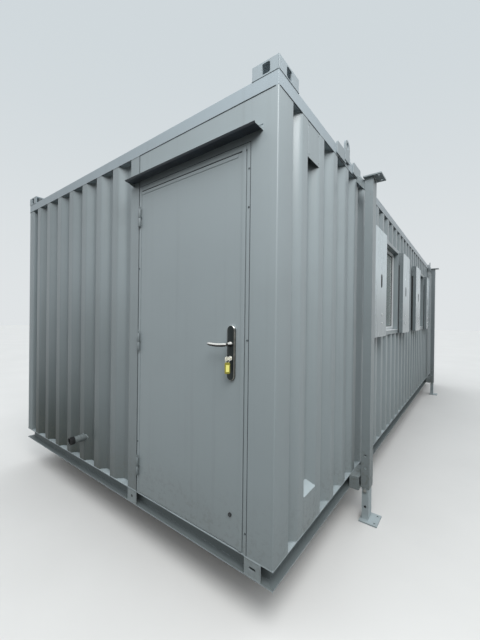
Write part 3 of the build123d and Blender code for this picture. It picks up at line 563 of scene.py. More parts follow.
# The front wall is painted darker, most near the ground and to the left: painted shade and a painted shadow, with
# real dust and splashes.
front_dirt_and_shade = {"dust": 0.3, "splash": 0.45, "painted_shade_strength": 1.1, "painted_shade_colour": (44, 54, 52), "painted_shadow_span": (-0.4, 0.5)}
front_paint = enamel("front wall enamel", tint(cabin_grey, 0.9), **front_dirt_and_shade)
wall_sheet("front corrugated sheet", "front_wall_skin", front_wall, pipe_hole, front_paint)
surround_low, surround_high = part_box("window_surrounds")
surround_width = 0.930
window_boxes = []
window_holes = bmesh.new()
for start in (surround_low.y, surround_high.y - surround_width):
    low = (posts_high.x - 0.2, start, surround_low.z)
    window_boxes.append((low, (posts_high.x + 0.2, start + surround_width, surround_high.z)))
    cube(window_holes, *window_boxes[-1])
wall_sheet("window side corrugated sheet", "right_wall_skin", window_wall, window_holes)
wall_sheet("far side corrugated sheet", "left_wall_skin", far_wall)
wall_sheet("back corrugated sheet", "back_wall_skin", back_wall)


# Linings: boards with a stippled white facing, standing on the deck inside the sheets.
# Their joints are covered by push-in plastic strips and the foot by a skirting.
def wall_board():
    material, place = start_finish("white faced board")
    stipple = cloud(place, 260.0, 2.0)
    marks = fade(cloud(place, 2.2, 5.0, 0.65), 0.55, 0.8)
    base = blend(marks * 0.3, shade(226, 227, 223), shade(198, 196, 188))
    return end_finish(material, base, 0.5 + 0.15 * marks, stipple * 0.00012)


def bar(shape, low, high, ease=0.001):
    """Adds a bar between two corners to a bmesh, its edges eased by that radius."""
    bmesh.ops.bevel(shape, geom=cube(shape, low, high), offset=ease, segments=2, affect="EDGES")


def barred(name, blocks, material, body="cabin", ease=0.001):
    """A piece made of bars between pairs of corners."""
    shape = bmesh.new()
    for low, high in blocks:
        bar(shape, low, high, ease)
    return close_shape(name, shape, material, body)


def plastic(name, colour, roughness=0.38):
    """Moulded plastic with a faint texture, slightly uneven in tone."""
    material, place = start_finish(name)
    tone = fade(cloud(place, 6.0, 4.0), 0.3, 0.7)
    base = blend(tone, tint(colour, 0.96), tint(colour, 1.03))
    return end_finish(material, base, roughness + 0.12 * tone, cloud(place, 500.0) * 0.00004)


board_finish = wall_board()
board_nodes = ["right_wall_lining", "left_wall_lining", "front_wall_lining", "over_door_lining", "back_wall_lining"]
dress([*board_nodes, "ceiling_panel"], board_finish)
strip_finish = plastic("white joint strip", shade(214, 216, 214))
board_width = 1.2
strip_half = 0.018
strip_proud = 0.004
deck_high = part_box("floor_deck")[1]
room_low = Vector((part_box("left_wall_lining")[1].x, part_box("over_door_lining")[1].y, deck_high.z))
room_high = Vector((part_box("right_wall_lining")[0].x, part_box("back_wall_lining")[0].y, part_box("ceiling_panel")[0].z))
strips = bmesh.new()
strip_count = int((room_high.y - room_low.y) / board_width)
lap = 0.04
windows_y = [(box_low[1] + lap, box_high[1] - lap) for box_low, box_high in window_boxes]
for step in range(1, strip_count + 1):
    strip_y = room_low.y + step * board_width
    y0, y1 = strip_y - strip_half, strip_y + strip_half
    spans = [(room_low.z, room_high.z)]
    if any(start < strip_y < end for start, end in windows_y):
        spans = [(room_low.z, surround_low.z + lap), (surround_high.z - lap, room_high.z)]
    bar(strips, (room_low.x, y0, room_low.z), (room_low.x + strip_proud, y1, room_high.z))
    for bottom, top in spans:
        bar(strips, (room_high.x - strip_proud, y0, bottom), (room_high.x, y1, top))
    bar(strips, (room_low.x, y0, room_high.z - strip_proud), (room_high.x, y1, room_high.z))
for strip_x in (-0.6, 0.6):
    back_low = (strip_x - strip_half, room_high.y - strip_proud, room_low.z)
    bar(strips, back_low, (strip_x + strip_half, room_high.y, room_high.z))
skirting_proud, skirting_height = 0.012, 0.07
skirting_bars = [
    ((room_low.x, room_low.y), (room_low.x + skirting_proud, room_high.y)),
    ((room_high.x - skirting_proud, room_low.y), (room_high.x, room_high.y)),
    ((room_low.x, room_high.y - skirting_proud), (room_high.x, room_high.y)),
    ((room_low.x, room_low.y), (frame_low.x, room_low.y + skirting_proud)),
]
for low, high in skirting_bars:
    bar(strips, (*low, room_low.z), (*high, room_low.z + skirting_height), 0.003)
close_shape("joint strips and skirting", strips, strip_finish, "cabin")


# Flat pan over the door, folded from the same sheet as the walls.
# A dark bead of sealant closes the joint between the flat pans and the door frame.
pan_paint = enamel("flat pan enamel", cabin_grey, dust=0.18, splash=0.3, scuffs=0.08)
dress(["over_door_panel"], pan_paint)


def rubber(name, colour, roughness=0.65):
    material, place = start_finish(name)
    bloom = fade(cloud(place, 30.0, 5.0, 0.6), 0.5, 0.75)
    base = blend(bloom * 0.5, colour, tint(colour, 2.0))
    return end_finish(material, base, roughness + 0.15 * bloom, cloud(place, 700.0) * 0.00005)


def hand_pressure(line):
    """The slow change in thickness of a bead laid by hand."""
    return 0.8 + 0.4 * cloud(line.node("GeometryNodeInputPosition"), 9.0, 2.0)


seam_tree = cord_tree("sealant bead", 8, hand_pressure)


def seal(name, runs, radius, material, body="cabin"):
    """Beads of sealant or rubber cord along runs of points."""
    return cords(name, seam_tree, runs, radius, 0.03, material, body)


dark_sealant_and_shadow_line = rubber("dark joint sealant", shade(52, 58, 62))
paint_sealant = rubber("painted sealant", tint(cabin_grey, 0.86), 0.5)
front_y = frame_low.y
pan_runs = [
    [(frame_high.x, front_y, wall_bottom), (frame_high.x, front_y, frame_high.z)],
    [(frame_low.x, front_y, frame_high.z), (frame_high.x, front_y, frame_high.z)],
    [(frame_low.x, front_y, wall_bottom), (frame_low.x, front_y, wall_top)],
]
seal("pan joint sealant", pan_runs, 0.0018, dark_sealant_and_shadow_line)


# Roof rails: folded channels welded round the top, with the sheets butted under them.
# The roof is one cambered sheet of welded strips, sealed along the rails.
# The rails are painted lighter and bluer than the walls: a painted reflection of the sky.
rail_painted_sky_light = enamel("roof rail enamel", shade(158, 170, 176), dust=0.12, splash=0.0, scuffs=0.18, rust=0.04)
dress(["roof_rail_front", "roof_rail_back", "roof_rail_left", "roof_rail_right"], rail_painted_sky_light, 0.0016)
roof_paint = enamel("roof sheet enamel", tint(cabin_grey, 0.95), dust=0.6, splash=0.0, scuffs=0.12, rust=0.08)
dress(["roof_sheet"], roof_paint)
roof_low, roof_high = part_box("roof_sheet")
rail_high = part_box("roof_rail_front")[1]
roof_flat_margin = 0.110
roof_crown = roof_high.z - rail_high.z


def roof_level(x):
    """Height of the cambered roof over the rails at that distance from the middle."""
    camber_half = roof_high.x - roof_flat_margin
    if abs(x) >= camber_half:
        return rail_high.z
    radius = (camber_half**2 + roof_crown**2) / (2 * roof_crown)
    return rail_high.z + math.sqrt(radius**2 - x**2) - (radius - roof_crown)


rail_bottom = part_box("roof_rail_front")[0].z
# The dark bead along the rails' foot is a painted shadow line under the rails.
seal("rail joint sealant", [rectangle("Z", rail_bottom, posts_low, posts_high)], 0.0027, dark_sealant_and_shadow_line)
roof_seams = []
seam_count, camber_steps = 6, 24
samples = [roof_low.x + (roof_high.x - roof_low.x) * step / camber_steps for step in range(camber_steps + 1)]
for step in range(1, seam_count):
    seam_y = roof_low.y + (roof_high.y - roof_low.y) * step / seam_count
    roof_seams.append([(x, seam_y, roof_level(x) + 0.0005) for x in samples])
weld("roof sheet seams", roof_seams, radius=0.004, ripple=0.012, material=roof_paint)
seal("roof edge sealant", [rectangle("Z", rail_high.z + 0.001, roof_low, roof_high)], 0.006, paint_sealant)


# Seam along the foot and the head of the wall sheets, where they are welded and caulked.
# It follows the troughs, so it is worked out with the same sum as the sheet.
def sheet_depth(along, first, last_end):
    """How deep the sheet lies at a distance along a wall."""
    if along > last_end:
        return 0.0
    pitch = even_pitch(first, last_end)
    wrapped = (along - first - trough_width / 2 + pitch / 2) % pitch
    flank = (trough_width / 2 - abs(wrapped - pitch / 2)) / trough_slope
    return trough_depth * min(max(flank, 0.0), 1.0)


def sheet_run(wall, z):
    corner, turn, start, end, first, last_end = wall
    turn = math.radians(turn)
    steps = int((end - start) / 0.011)
    run = []
    for step in range(steps + 1):
        along = start + (end - start) * step / steps
        depth = sheet_depth(along, first, last_end) - 0.0012
        x = corner[0] + along * math.cos(turn) - depth * math.sin(turn)
        y = corner[1] + along * math.sin(turn) + depth * math.cos(turn)
        run.append((x, y, z))
    return run


wall_seam_runs = []
for seam_z in (wall_bottom + 0.001, wall_top - 0.001):
    wall_seam_runs += [sheet_run(wall, seam_z) for wall in (front_wall, window_wall, back_wall, far_wall)]
seal("wall sheet caulking", wall_seam_runs, 0.003, paint_sealant)


# Corner blocks: plates welded into open lifting pockets on top of the rails.
# Each carries a fillet weld along the rails and up its own corner.
block_paint = enamel("corner block enamel", shade(152, 163, 168), dust=0.2, splash=0.0, scuffs=0.5, rust=0.3)
dress(["corner_blocks"], block_paint, 0.001)
block_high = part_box("corner_blocks")[1]
block_width = 0.155
block_length = 0.205
block_runs = []
for side, end_y, inward in corners:
    edge_x = side * block_high.x
    far_x = side * (block_high.x - block_width)
    far_y = end_y + inward * block_length
    weld_x, weld_y = edge_x + side * 0.0008, end_y - inward * 0.0008
    foot_z = rail_high.z
    block_runs.append([(far_x, weld_y, foot_z), (edge_x, weld_y, foot_z)])
    block_runs.append([(weld_x, end_y, foot_z), (weld_x, far_y, foot_z)])
    block_runs.append([(edge_x, end_y, foot_z + 0.002), (edge_x, end_y, block_high.z - 0.004)])
weld("corner block welds", block_runs, radius=0.0022, ripple=0.008, material=block_paint)


# Lifting lugs and doubler plates: flame-cut flats welded to the outer face of the long rails.
# The lug's eye takes a shackle, so its paint is scuffed through in places.
lug_paint = enamel("lug enamel", shade(146, 156, 160), dust=0.25, splash=0.0, scuffs=0.6, rust=0.35)
dress(["lifting_lugs"], lug_paint, 0.0015)
lug_inset = 0.965
lug_half, lug_drop = 0.05, 0.045
doubler_reach, doubler_drop = 0.078, 0.065
lug_runs = []
for side, end_y, inward in corners:
    lug_x = side * (posts_high.x + 0.011)
    plate_x = side * (posts_high.x + 0.0015)
    lug_y = end_y + inward * lug_inset
    lug_outline = ((-lug_half, 0.0), (-lug_half, lug_drop), (lug_half, lug_drop), (lug_half, 0.0))
    lug_runs.append([(lug_x, lug_y + y, rail_high.z - drop) for y, drop in lug_outline])
    for shift in (-0.111, 0.242):
        plate_y = lug_y + inward * shift
        lug_runs.append([(plate_x, plate_y + way * doubler_reach, rail_high.z - doubler_drop) for way in (-1, 1)])
weld("lug welds", lug_runs, radius=0.0035, ripple=0.008, material=lug_paint)


# Door frame: a folded ring round the opening, with a rebate and a rubber seal for the leaf.
# Dome-head screws, their heads left dark, fix it to the wall on both sides of the opening.
frame_paint = enamel("door frame enamel", tint(cabin_grey, 1.0), dust=0.15, splash=0.4, scuffs=0.25)
dress(["door_frame"], frame_paint, 0.0012)
black_rubber = rubber("black rubber", shade(24, 25, 26))
leaf_low, leaf_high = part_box("door_leaf_lining")
leaf_low = leaf_low - Vector((0.002, 0, 0.002))
leaf_high = leaf_high + Vector((0.002, 0, 0.002))
stop_y = front_y + 0.050
rim = 0.004
rebate_low, rebate_high = (leaf_low.x + rim, leaf_low.z + rim), (leaf_high.x - rim, leaf_high.z - rim)
seal("door rebate seal", [rectangle("Y", stop_y - 0.001, rebate_low, rebate_high)], 0.0022, black_rubber)
gap = 0.007
left_jamb, right_jamb = leaf_low.x - gap, leaf_high.x + gap
head_jamb = leaf_high.z + gap
strip_front, strip_back = front_y + 0.0025, front_y + 0.012
jamb_foot = leaf_low.z - 0.002

hinge_strip = (left_jamb - 0.001, front_y + 0.0006, jamb_foot), (leaf_low.x - 0.0004, strip_back, head_jamb)
lock_strip = (leaf_high.x + 0.0024, strip_front, jamb_foot), (right_jamb + 0.001, strip_back, head_jamb)
# The black strip in the head gap is a painted shadow line.
head_shadow_strip = (left_jamb, strip_front, leaf_high.z + 0.001), (right_jamb, strip_back, head_jamb + 0.001)
for name, block, material in (
    ("hinge side strip", hinge_strip, rubber("grey strip rubber", shade(126, 134, 137))),
    ("frame weather strip", lock_strip, plastic("grey weather strip", tint(cabin_grey, 0.8), 0.5)),
    ("head weather strip", head_shadow_strip, black_rubber),
):
    barred(name, [block], material, ease=0.0005)


def lathe(shape, profile, centre, axis, steps=12):
    """Revolves (radius, height) points round an axis through centre; a radius of 0 closes the end."""
    rotation = Vector((0, 0, 1)).rotation_difference(Vector(axis)).to_matrix()
    rings = []
    for radius, height in profile:
        if radius == 0:
            rings.append([shape.verts.new(Vector(centre) + rotation @ Vector((0, 0, height)))])
            continue
        ring = []
        for step in range(steps):
            angle = 2 * math.pi * step / steps
            spot = Vector((radius * math.cos(angle), radius * math.sin(angle), height))
            ring.append(shape.verts.new(Vector(centre) + rotation @ spot))
        rings.append(ring)
    for lower, upper in zip(rings, rings[1:]):
        for step in range(steps):
            after = (step + 1) % steps
            if len(lower) == 1:
                shape.faces.new((lower[0], upper[after], upper[step]))
            elif len(upper) == 1:
                shape.faces.new((lower[step], lower[after], upper[0]))
            else:
                shape.faces.new((lower[step], lower[after], upper[after], upper[step]))


def turned(name, profile, centre, axis, steps, material, body="cabin"):
    """A piece made of one profile revolved round an axis."""
    shape = bmesh.new()
    lathe(shape, profile, centre, axis, steps)
    return close_shape(name, shape, material, body)


head_tree, head = shape_tree("fastener heads", {"Head": "Object", "Seed": "Int"})
root = head["Head"]
head_shape = root.node("GeometryNodeObjectInfo", {"Object": root}, "Geometry", transform_space="ORIGINAL")
head_facing = root.node("GeometryNodeInputNamedAttribute", {"Name": "facing"}, data_type="FLOAT_VECTOR")
head_turn = root.node("FunctionNodeAlignRotationToVector", {"Vector": head_facing}, axis="Z")
chances = {2: 0.0, 3: math.tau, "Seed": head["Seed"]}
head_chance = root.node("FunctionNodeRandomValue", chances, 1, data_type="FLOAT")
head_spin = root.node("FunctionNodeAxisAngleToRotation", {"Axis": (0, 0, 1), "Angle": head_chance})
spun = {"Rotation": head_turn, "Rotate By": head_spin}
head_turn = root.node("FunctionNodeRotateRotation", spun, rotation_space="LOCAL")
head_values = {"Points": head["Geometry"], "Instance": head_shape, "Rotation": head_turn}
end_tree(head_tree, root.node("GeometryNodeInstanceOnPoints", head_values), head["Material"])


def screw_head(radius, height, washer=0.0, hexagon=False):
    """A template head on +Z: an optional washer, then a dome with a recess or a hexagon."""
    shape = bmesh.new()
    origin, up = (0, 0, 0), (0, 0, 1)
    foot = 0.0
    if washer:
        disc = [(0, 0), (washer, 0), (washer, 0.0012), (washer * 0.94, 0.0016), (0, 0.0016)]
        lathe(shape, disc, origin, up, 16)
        foot = 0.0015
    top = foot + height
    if hexagon:
        profile = [(0, foot), (radius, foot), (radius, foot + height * 0.8), (radius * 0.86, top)]
        lathe(shape, [*profile, (0, top)], origin, up, 6)
    else:
        profile = [(0, foot), (radius, foot), (radius * 0.93, foot + height * 0.5), (radius * 0.62, top)]
        recess = [(radius * 0.34, top), (radius * 0.3, foot + height * 0.45), (0, foot + height * 0.45)]
        lathe(shape, [*profile, *recess], origin, up)
    bmesh.ops.recalc_face_normals(shape, faces=shape.faces)
    return to_mesh("head", shape)


def fasteners(name, head_mesh, spots, material, body="cabin", seed=1):
    """Heads on (place, direction) spots, each turned by chance about its own axis."""
    template = add_object("template", head_mesh)
    points = bpy.data.meshes.new("spots")
    points.from_pydata([spot for spot, _ in spots], [], [])
    facing = points.attributes.new("facing", "FLOAT_VECTOR", "POINT")
    for step, (_, direction) in enumerate(spots):
        facing.data[step].vector = direction
    values = {"Head": template, "Seed": seed, "Material": material}
    mesh = grow(head_tree, values, points)
    bpy.data.objects.remove(template)
    return place_mesh(name, mesh, material, body, 32.0)


def metal(name, colour, roughness=0.3, worn=0.2, metallic=1.0):
    """Plated or bare metal with fine scratches and dull patches."""
    material, place = start_finish(name)
    patches = fade(cloud(place, 24.0, 5.0, 0.6), 0.4, 0.75)
    scratches = fade(cloud(stretched(place, (90.0, 90.0, 500.0)), 1.0, 3.0, 0.7), 0.6, 0.7)
    base = blend(patches * worn, colour, tint(colour, 0.55))
    sheen = roughness + 0.3 * worn * patches + 0.1 * scratches
    height = scratches * 0.00003 + cloud(place, 150.0) * 0.00005
    return end_finish(material, base, sheen, height, {"Metallic": metallic})


dull_steel = metal("dull screw steel", shade(92, 98, 100), 0.45, 0.5)
out_front = (0, -1, 0)
screw_inset = 0.0085
screw_places = [(frame_high.x - screw_inset, z) for z in (0.458, 1.437, 2.109, 2.304)]
screw_places += [(frame_low.x + screw_inset, z) for z in (0.700, 1.880)]
frame_screws = [((x, front_y, z), out_front) for x, z in screw_places]
fasteners("frame screws", screw_head(0.0055, 0.003), frame_screws, dull_steel, seed=3)
tread_low = (frame_low.x + 0.04, stop_y + 0.004, deck_high.z)
tread = (tread_low, (frame_high.x - 0.04, room_low.y + 0.03, deck_high.z + 0.003))
barred("threshold strip", [tread], metal("aluminium strip", shade(176, 178, 178), 0.35, 0.4))


# Door leaf: a folded pan of steel sheet on an insulated core, with an anti-jemmy strip
# welded down the lock edge and a shallow cover strip along the top.
leaf_paint = enamel("door leaf enamel", tint(cabin_grey, 0.99), dust=0.14, splash=0.35, scuffs=0.16)
dress(["door_leaf"], leaf_paint, 0.0008)
dress(["door_leaf_lining"], board_finish)
leaf_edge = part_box("door_leaf")[1].x
strip_left = leaf_edge - 0.024
edge_low = (strip_left - 0.0004, front_y - 0.0036, leaf_high.z - 0.004)
edge_strip = (edge_low, (leaf_edge, front_y - 0.0006, leaf_high.z + 0.019))
top_low = (leaf_low.x + 0.001, front_y - 0.0025, leaf_high.z - 0.020)
top_strip = (top_low, (strip_left - 0.028, front_y, leaf_high.z - 0.0005))
barred("door cover strips", [edge_strip, top_strip], leaf_paint, "door", 0.0008)
strip_run = [(strip_left, front_y - 0.0004, z) for z in (leaf_low.z + 0.01, leaf_high.z)]
weld("cover strip welds", [strip_run], "door", 0.0014, 0.012, leaf_paint)
leaf_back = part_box("door_leaf_lining")[1].y
rim = 0.016
inner_low, inner_high = (leaf_low.x + rim, leaf_low.z + rim), (leaf_high.x - rim, leaf_high.z - rim)
seal("leaf inner edge bead", [rectangle("Y", leaf_back, inner_low, inner_high)], 0.0012, paint_sealant, "door")


# Hinges: turned lift-off knuckles on thin tabs, welded to the frame below and to the leaf above.
# The pin's domed head stands clear of the upper knuckle, and a fine line parts the two halves.
hinge_paint = enamel("hinge enamel", tint(cabin_grey, 0.62), dust=0.2, splash=0.1, scuffs=0.3, gloss=0.5)
hinge_x = 0.4575
hinge_y = front_y - 0.012
hinge_radius = 0.0082
half_length = 0.0585
hinge_middles = [underside + height for height in (0.285, 1.131, 1.972)]
half_knuckle = [(0, 0), (hinge_radius - 0.001, 0), (hinge_radius, 0.001), (hinge_radius, half_length - 0.001)]
half_knuckle += [(hinge_radius - 0.001, half_length), (0, half_length)]
pin_head = [(0, 0), (0.004, 0), (0.004, 0.009), (0.0068, 0.0095), (0.0072, 0.013), (0.0055, 0.017), (0, 0.0185)]


def hinge_halves(name, body, node, foot, tab_from, tab_to, weld_at):
    """The same half of all three hinges; foot is its height over the middle. Gives the weld lines."""
    shape = bmesh.new()
    runs = []
    for middle in hinge_middles:
        low, high = middle + foot, middle + foot + half_length
        lathe(shape, half_knuckle, (hinge_x, hinge_y, low), (0, 0, 1), 20)
        if foot > 0:
            lathe(shape, pin_head, (hinge_x, hinge_y, high - 0.0005), (0, 0, 1), 16)
        bar(shape, (hinge_x + tab_from, front_y - 0.005, low), (hinge_x + tab_to, front_y + 0.0005, high))
        runs.append([(hinge_x + weld_at, front_y - 0.0005, z) for z in (low, high)])
    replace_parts(close_shape(name, shape, hinge_paint, body, 50.0), node)
    return runs


frame_halves = ("frame hinge halves", "cabin", "frame_hinges", -half_length - 0.0005, -0.012, 0.001, -0.012)
frame_hinge_runs = hinge_halves(*frame_halves)
leaf_hinge_runs = hinge_halves("leaf hinge halves", "door", "leaf_hinges", 0.0005, 0.002, 0.013, 0.013)
weld("frame hinge welds", frame_hinge_runs, "cabin", 0.0022, 0.005, hinge_paint)
weld("leaf hinge welds", leaf_hinge_runs, "door", 0.0022, 0.005, hinge_paint)


# Handle set: a long cast plate whose face is a painted dark reflection, a plated rim and a plated lever
# with a painted highlight on top and painted shade below, and a lock cylinder in a round collar below it.
def plated(name, colour, under, roughness=0.16, lit=(-0.35, 0.25), metallic=1.0):
    """Bright plating with smears: where it faces up, a painted highlight; facing down or sideways, painted shade."""
    material, place = start_finish(name)
    above = fade(facing_of(place, "Z"), *lit)
    smears = fade(cloud(place, 60.0, 4.0, 0.6), 0.45, 0.75)
    base = blend(above, blend(smears, under, tint(under, 1.5)), blend(smears * 0.3, colour, tint(colour, 0.7)))
    height = cloud(place, 180.0) * 0.00003
    return end_finish(material, base, roughness + 0.15 * smears, height, {"Metallic": metallic})


# Lever and rim take a painted highlight where they face up and painted shade where they face down or sideways.
chrome = plated("plated handle metal", shade(246, 244, 238), shade(30, 28, 25), 0.22, lit=(-0.1, 0.4), metallic=0.5)
rim_plating = plated("plated plate rim", shade(236, 238, 236), shade(118, 116, 110), 0.3, lit=(0.05, 0.6))
# The plate's dark face is a painted reflection of dark surroundings.
plate_face_painted_reflection = metal("dark polished plate", shade(30, 37, 37), 0.3, 0.25, 0.5)
plate_low, plate_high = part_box("handle_backplate")
plate_x = (plate_low.x + plate_high.x) / 2
plate_z = (plate_low.z + plate_high.z) / 2


def stadium(half_width, half_height, steps=12):
    """Points of an upright outline with round ends, about its own middle."""
    points = []
    straight = half_height - half_width
    for centre, first in ((straight, 0.0), (-straight, math.pi)):
        for step in range(steps + 1):
            angle = first + math.pi * step / steps
            points.append((half_width * math.cos(angle), centre + half_width * math.sin(angle)))
    return points


def loft(shape, outlines, close_ends=True):
    """Joins rings of points, all with the same number, into one skin."""
    rings = [[shape.verts.new(point) for point in outline] for outline in outlines]
    count = len(rings[0])
    for lower, upper in zip(rings, rings[1:]):
        for step in range(count):
            after = (step + 1) % count
            shape.faces.new((lower[step], lower[after], upper[after], upper[step]))
    if close_ends:
        shape.faces.new(rings[0])
        shape.faces.new(rings[-1])


def lofted(name, outlines, material, body="cabin"):
    """A piece made of rings of points joined into one skin."""
    shape = bmesh.new()
    loft(shape, outlines)
    return close_shape(name, shape, material, body)


def plate_ring(inset, depth):
    outline = stadium(0.025 - inset, 0.145 - inset)
    return [(plate_x + x, front_y - depth, plate_z + z) for x, z in outline]


rim_steps = ((0.0, 0.0), (0.0, 0.009), (0.0012, 0.0118), (0.003, 0.0132))
face_steps = ((0.0032, 0.0128), (0.0036, 0.0136), (0.0042, 0.014))
lofted("handle plate rim", [plate_ring(*step) for step in rim_steps], rim_plating, "door")
face_rings = [plate_ring(*step) for step in face_steps]
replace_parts(lofted("handle plate face", face_rings, plate_face_painted_reflection, "door"), "handle_backplate")

lever_z = underside + 1.163
lever_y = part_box("lever_handle")[0].y + 0.009
arm_length = 0.136
lever_shape = bmesh.new()
neck = [(0.0135, 0.0), (0.0135, 0.004), (0.011, 0.008), (0.0098, 0.016), (0.0095, 0.030), (0, 0.030)]
lathe(lever_shape, [(0, 0.0), *neck], (plate_x, front_y - 0.0145, lever_z), out_front, 20)
arm_rings = []
arm_steps, arm_sides = 16, 14
for step in range(arm_steps + 1):
    share = step / arm_steps
    along = arm_length * share
    drop = -0.0042 * math.sin(math.pi * share) - 0.002 * share
    half_height = 0.0098 - 0.0010 * share
    half_depth = 0.009 - 0.0025 * min(share * 3.0, 1.0)
    if step in (0, arm_steps):
        half_height *= 0.62
        half_depth *= 0.55
    if step in (1, arm_steps - 1):
        half_height *= 0.9
        half_depth *= 0.9
    lean = 0.008 * share**2
    ring = []
    for turn in range(arm_sides):
        angle = 2 * math.pi * turn / arm_sides
        y = lever_y + lean + half_depth * math.cos(angle)
        ring.append((plate_x - along + 0.0085, y, lever_z + drop + half_height * math.sin(angle)))
    arm_rings.append(ring)
loft(lever_shape, arm_rings)
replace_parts(close_shape("cast lever", lever_shape, chrome, "lever", 50.0), "lever_handle")

cylinder_z = underside + 1.090
collar = [(0, 0.013), (0.013, 0.013), (0.013, 0.0155), (0.0118, 0.0172), (0.009, 0.0176), (0.0088, 0.0225)]
collar += [(0.0078, 0.0232), (0, 0.0232)]
cylinder_line = ((plate_x, front_y, cylinder_z), out_front, 24)
cylinder_metal = metal("satin lock metal", shade(232, 230, 220), 0.3, 0.15)
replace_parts(turned("lock cylinder and collar", collar, *cylinder_line, cylinder_metal, "door"), "lock_cylinder")


# Keys: one in the lock, a split ring through its bow and a blank yellow plastic tag.
# Key and ring are nickel-plated, scratched by use.
nickel = metal("key nickel", shade(244, 240, 222), 0.36, 0.1, 0.4)
tag_yellow = plastic("yellow key tag", shade(140, 134, 48), 0.3)
tag_label = plastic("blank tag label", shade(240, 234, 132), 0.4)
bow_y = front_y - 0.043
key_shape = bmesh.new()
bow_half = [(0.002, 0.0017), (0.0115, 0.0017), (0.012, 0.0009)]
bow_section = [(radius, -thick) for radius, thick in bow_half] + bow_half[::-1]
key_steps = 28
key_rings = []
for step in range(key_steps + 1):
    angle = 2 * math.pi * (step % key_steps) / key_steps
    y, z = math.cos(angle), math.sin(angle)
    ring = [(plate_x + thick, bow_y + radius * y, cylinder_z + radius * z) for radius, thick in bow_section]
    key_rings.append(ring)
loft(key_shape, key_rings, close_ends=False)
blade_low = (plate_x - 0.0013, bow_y + 0.008, cylinder_z - 0.004)
bar(key_shape, blade_low, (plate_x + 0.0013, front_y - 0.022, cylinder_z + 0.004), 0.0006)


def wire_ring(shape, middle, radius, side, across, steps):
    """A ring of round wire that stands upright in the plane of side."""
    wire = 0.0011
    turns = [2 * math.pi * turn / 6 for turn in range(6)]
    rings = []
    for step in range(steps + 1):
        angle = 2 * math.pi * step / steps
        outwards = side * math.cos(angle) + Vector((0, 0, 1)) * math.sin(angle)
        centre = middle + outwards * radius
        rings.append([centre + (outwards * math.cos(turn) + across * math.sin(turn)) * wire for turn in turns])
    loft(shape, rings, close_ends=False)


ring_radius = 0.010
ring_centre = Vector((plate_x + 0.003, bow_y + 0.001, cylinder_z - 0.0115))
ring_turn = math.radians(35)
ring_side = Vector((math.cos(ring_turn), math.sin(ring_turn), 0))
wire_ring(key_shape, ring_centre, ring_radius, ring_side, ring_side.cross(Vector((0, 0, 1))), 32)
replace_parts(close_shape("key and ring", key_shape, nickel, "door", 50.0), "door_keys")
tag_across = Vector((0.72, 0.694, 0))
tag_thick = Vector((-0.694, 0.72, 0))
tag_top = ring_centre - Vector((-0.001, 0, ring_radius - 0.0005))
tag_outline = []
tag_round = 0.006
for corner_x, corner_z, first in ((1, 0, 0), (-1, 0, 1), (-1, -1, 2), (1, -1, 3)):
    for step in range(5):
        angle = math.pi / 2 * (first + step / 4)
        across, high = corner_x * 0.008, corner_z * 0.044 - tag_round
        tag_outline.append((across + tag_round * math.cos(angle), high + tag_round * math.sin(angle)))


def tag_ring(outline, scale, thick):
    """An outline in the plane of the tag, drawn in towards a point on it and moved off the plane."""
    points = [(x * scale, z + (1 - scale) * 0.028) for x, z in outline]
    return [tag_top + tag_across * x + Vector((0, 0, z)) + tag_thick * thick for x, z in points]


tag_steps = ((0.9, -0.002), (1.0, -0.0012), (1.0, 0.0012), (0.9, 0.002))
lofted("key tag", [tag_ring(tag_outline, *step) for step in tag_steps], tag_yellow, "door")
label_outline = [(-0.0075, -0.0105), (0.0095, -0.0105), (0.0095, -0.046), (-0.0075, -0.046)]
label_rings = [tag_ring(label_outline, 1.0, thick) for thick in (-0.0018, -0.0026)]
lofted("blank tag label", label_rings, tag_label, "door")


# Buffer: a moulded rubber stud screwed to the leaf, which meets the wall when the door swings back.
dress(["door_buffer"], black_rubber)
buffer_low, buffer_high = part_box("door_buffer")
buffer_middle = (buffer_low + buffer_high) / 2
buffer_spot = (buffer_middle.x, buffer_low.y + 0.0004, buffer_middle.z)
fasteners("buffer screw", screw_head(0.0042, 0.0016), [(buffer_spot, out_front)], dull_steel, "door")


# Hood over the door: a folded sheet with end cheeks, screwed to the wall through its upstand.
# The underside is painted dark, a painted shade; the top and the upright faces have the grey enamel.
def hood_painted_shade_finish():
    material, place = start_finish("hood enamel over dark primer")
    # Painted shade on the faces that look down.
    below = 1.0 - fade(facing_of(place, "Z"), -0.35, -0.1)
    streaks = fade(cloud(stretched(place, (14.0, 3.0, 3.0)), 1.4, 5.0, 0.6), 0.4, 0.75)
    dark = blend(streaks, shade(34, 42, 50), shade(48, 57, 65))
    light = blend(streaks, tint(cabin_grey, 1.02), tint(cabin_grey, 0.9))
    height = cloud(place, 300.0, 2.0) * 0.00005
    return end_finish(material, blend(below, light, dark), 0.4 + 0.2 * streaks, height)


hood_paint = hood_painted_shade_finish()
hood_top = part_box("door_hood")[1].z
hood_left, hood_right = 0.377, 1.441
upstand = 0.018
fold_z = hood_top - upstand
hood_sheet = 0.002
hood_fold = [(0.0, upstand), (-0.003, upstand), (-0.003, 0.0), (-0.051, -0.009), (-0.068, -0.009), (-0.075, -0.002)]
hood_fold += [(-0.0765, -0.0035), (-0.069, -0.009 - hood_sheet), (-0.051, -0.009 - hood_sheet), (0.0, -hood_sheet)]


def hood_slab(outline, left, right):
    """A slab with that outline from the side, between two places along the hood."""
    loft(hood_shape, [[(x, front_y + y, fold_z + z) for y, z in outline] for x in (left, right)])


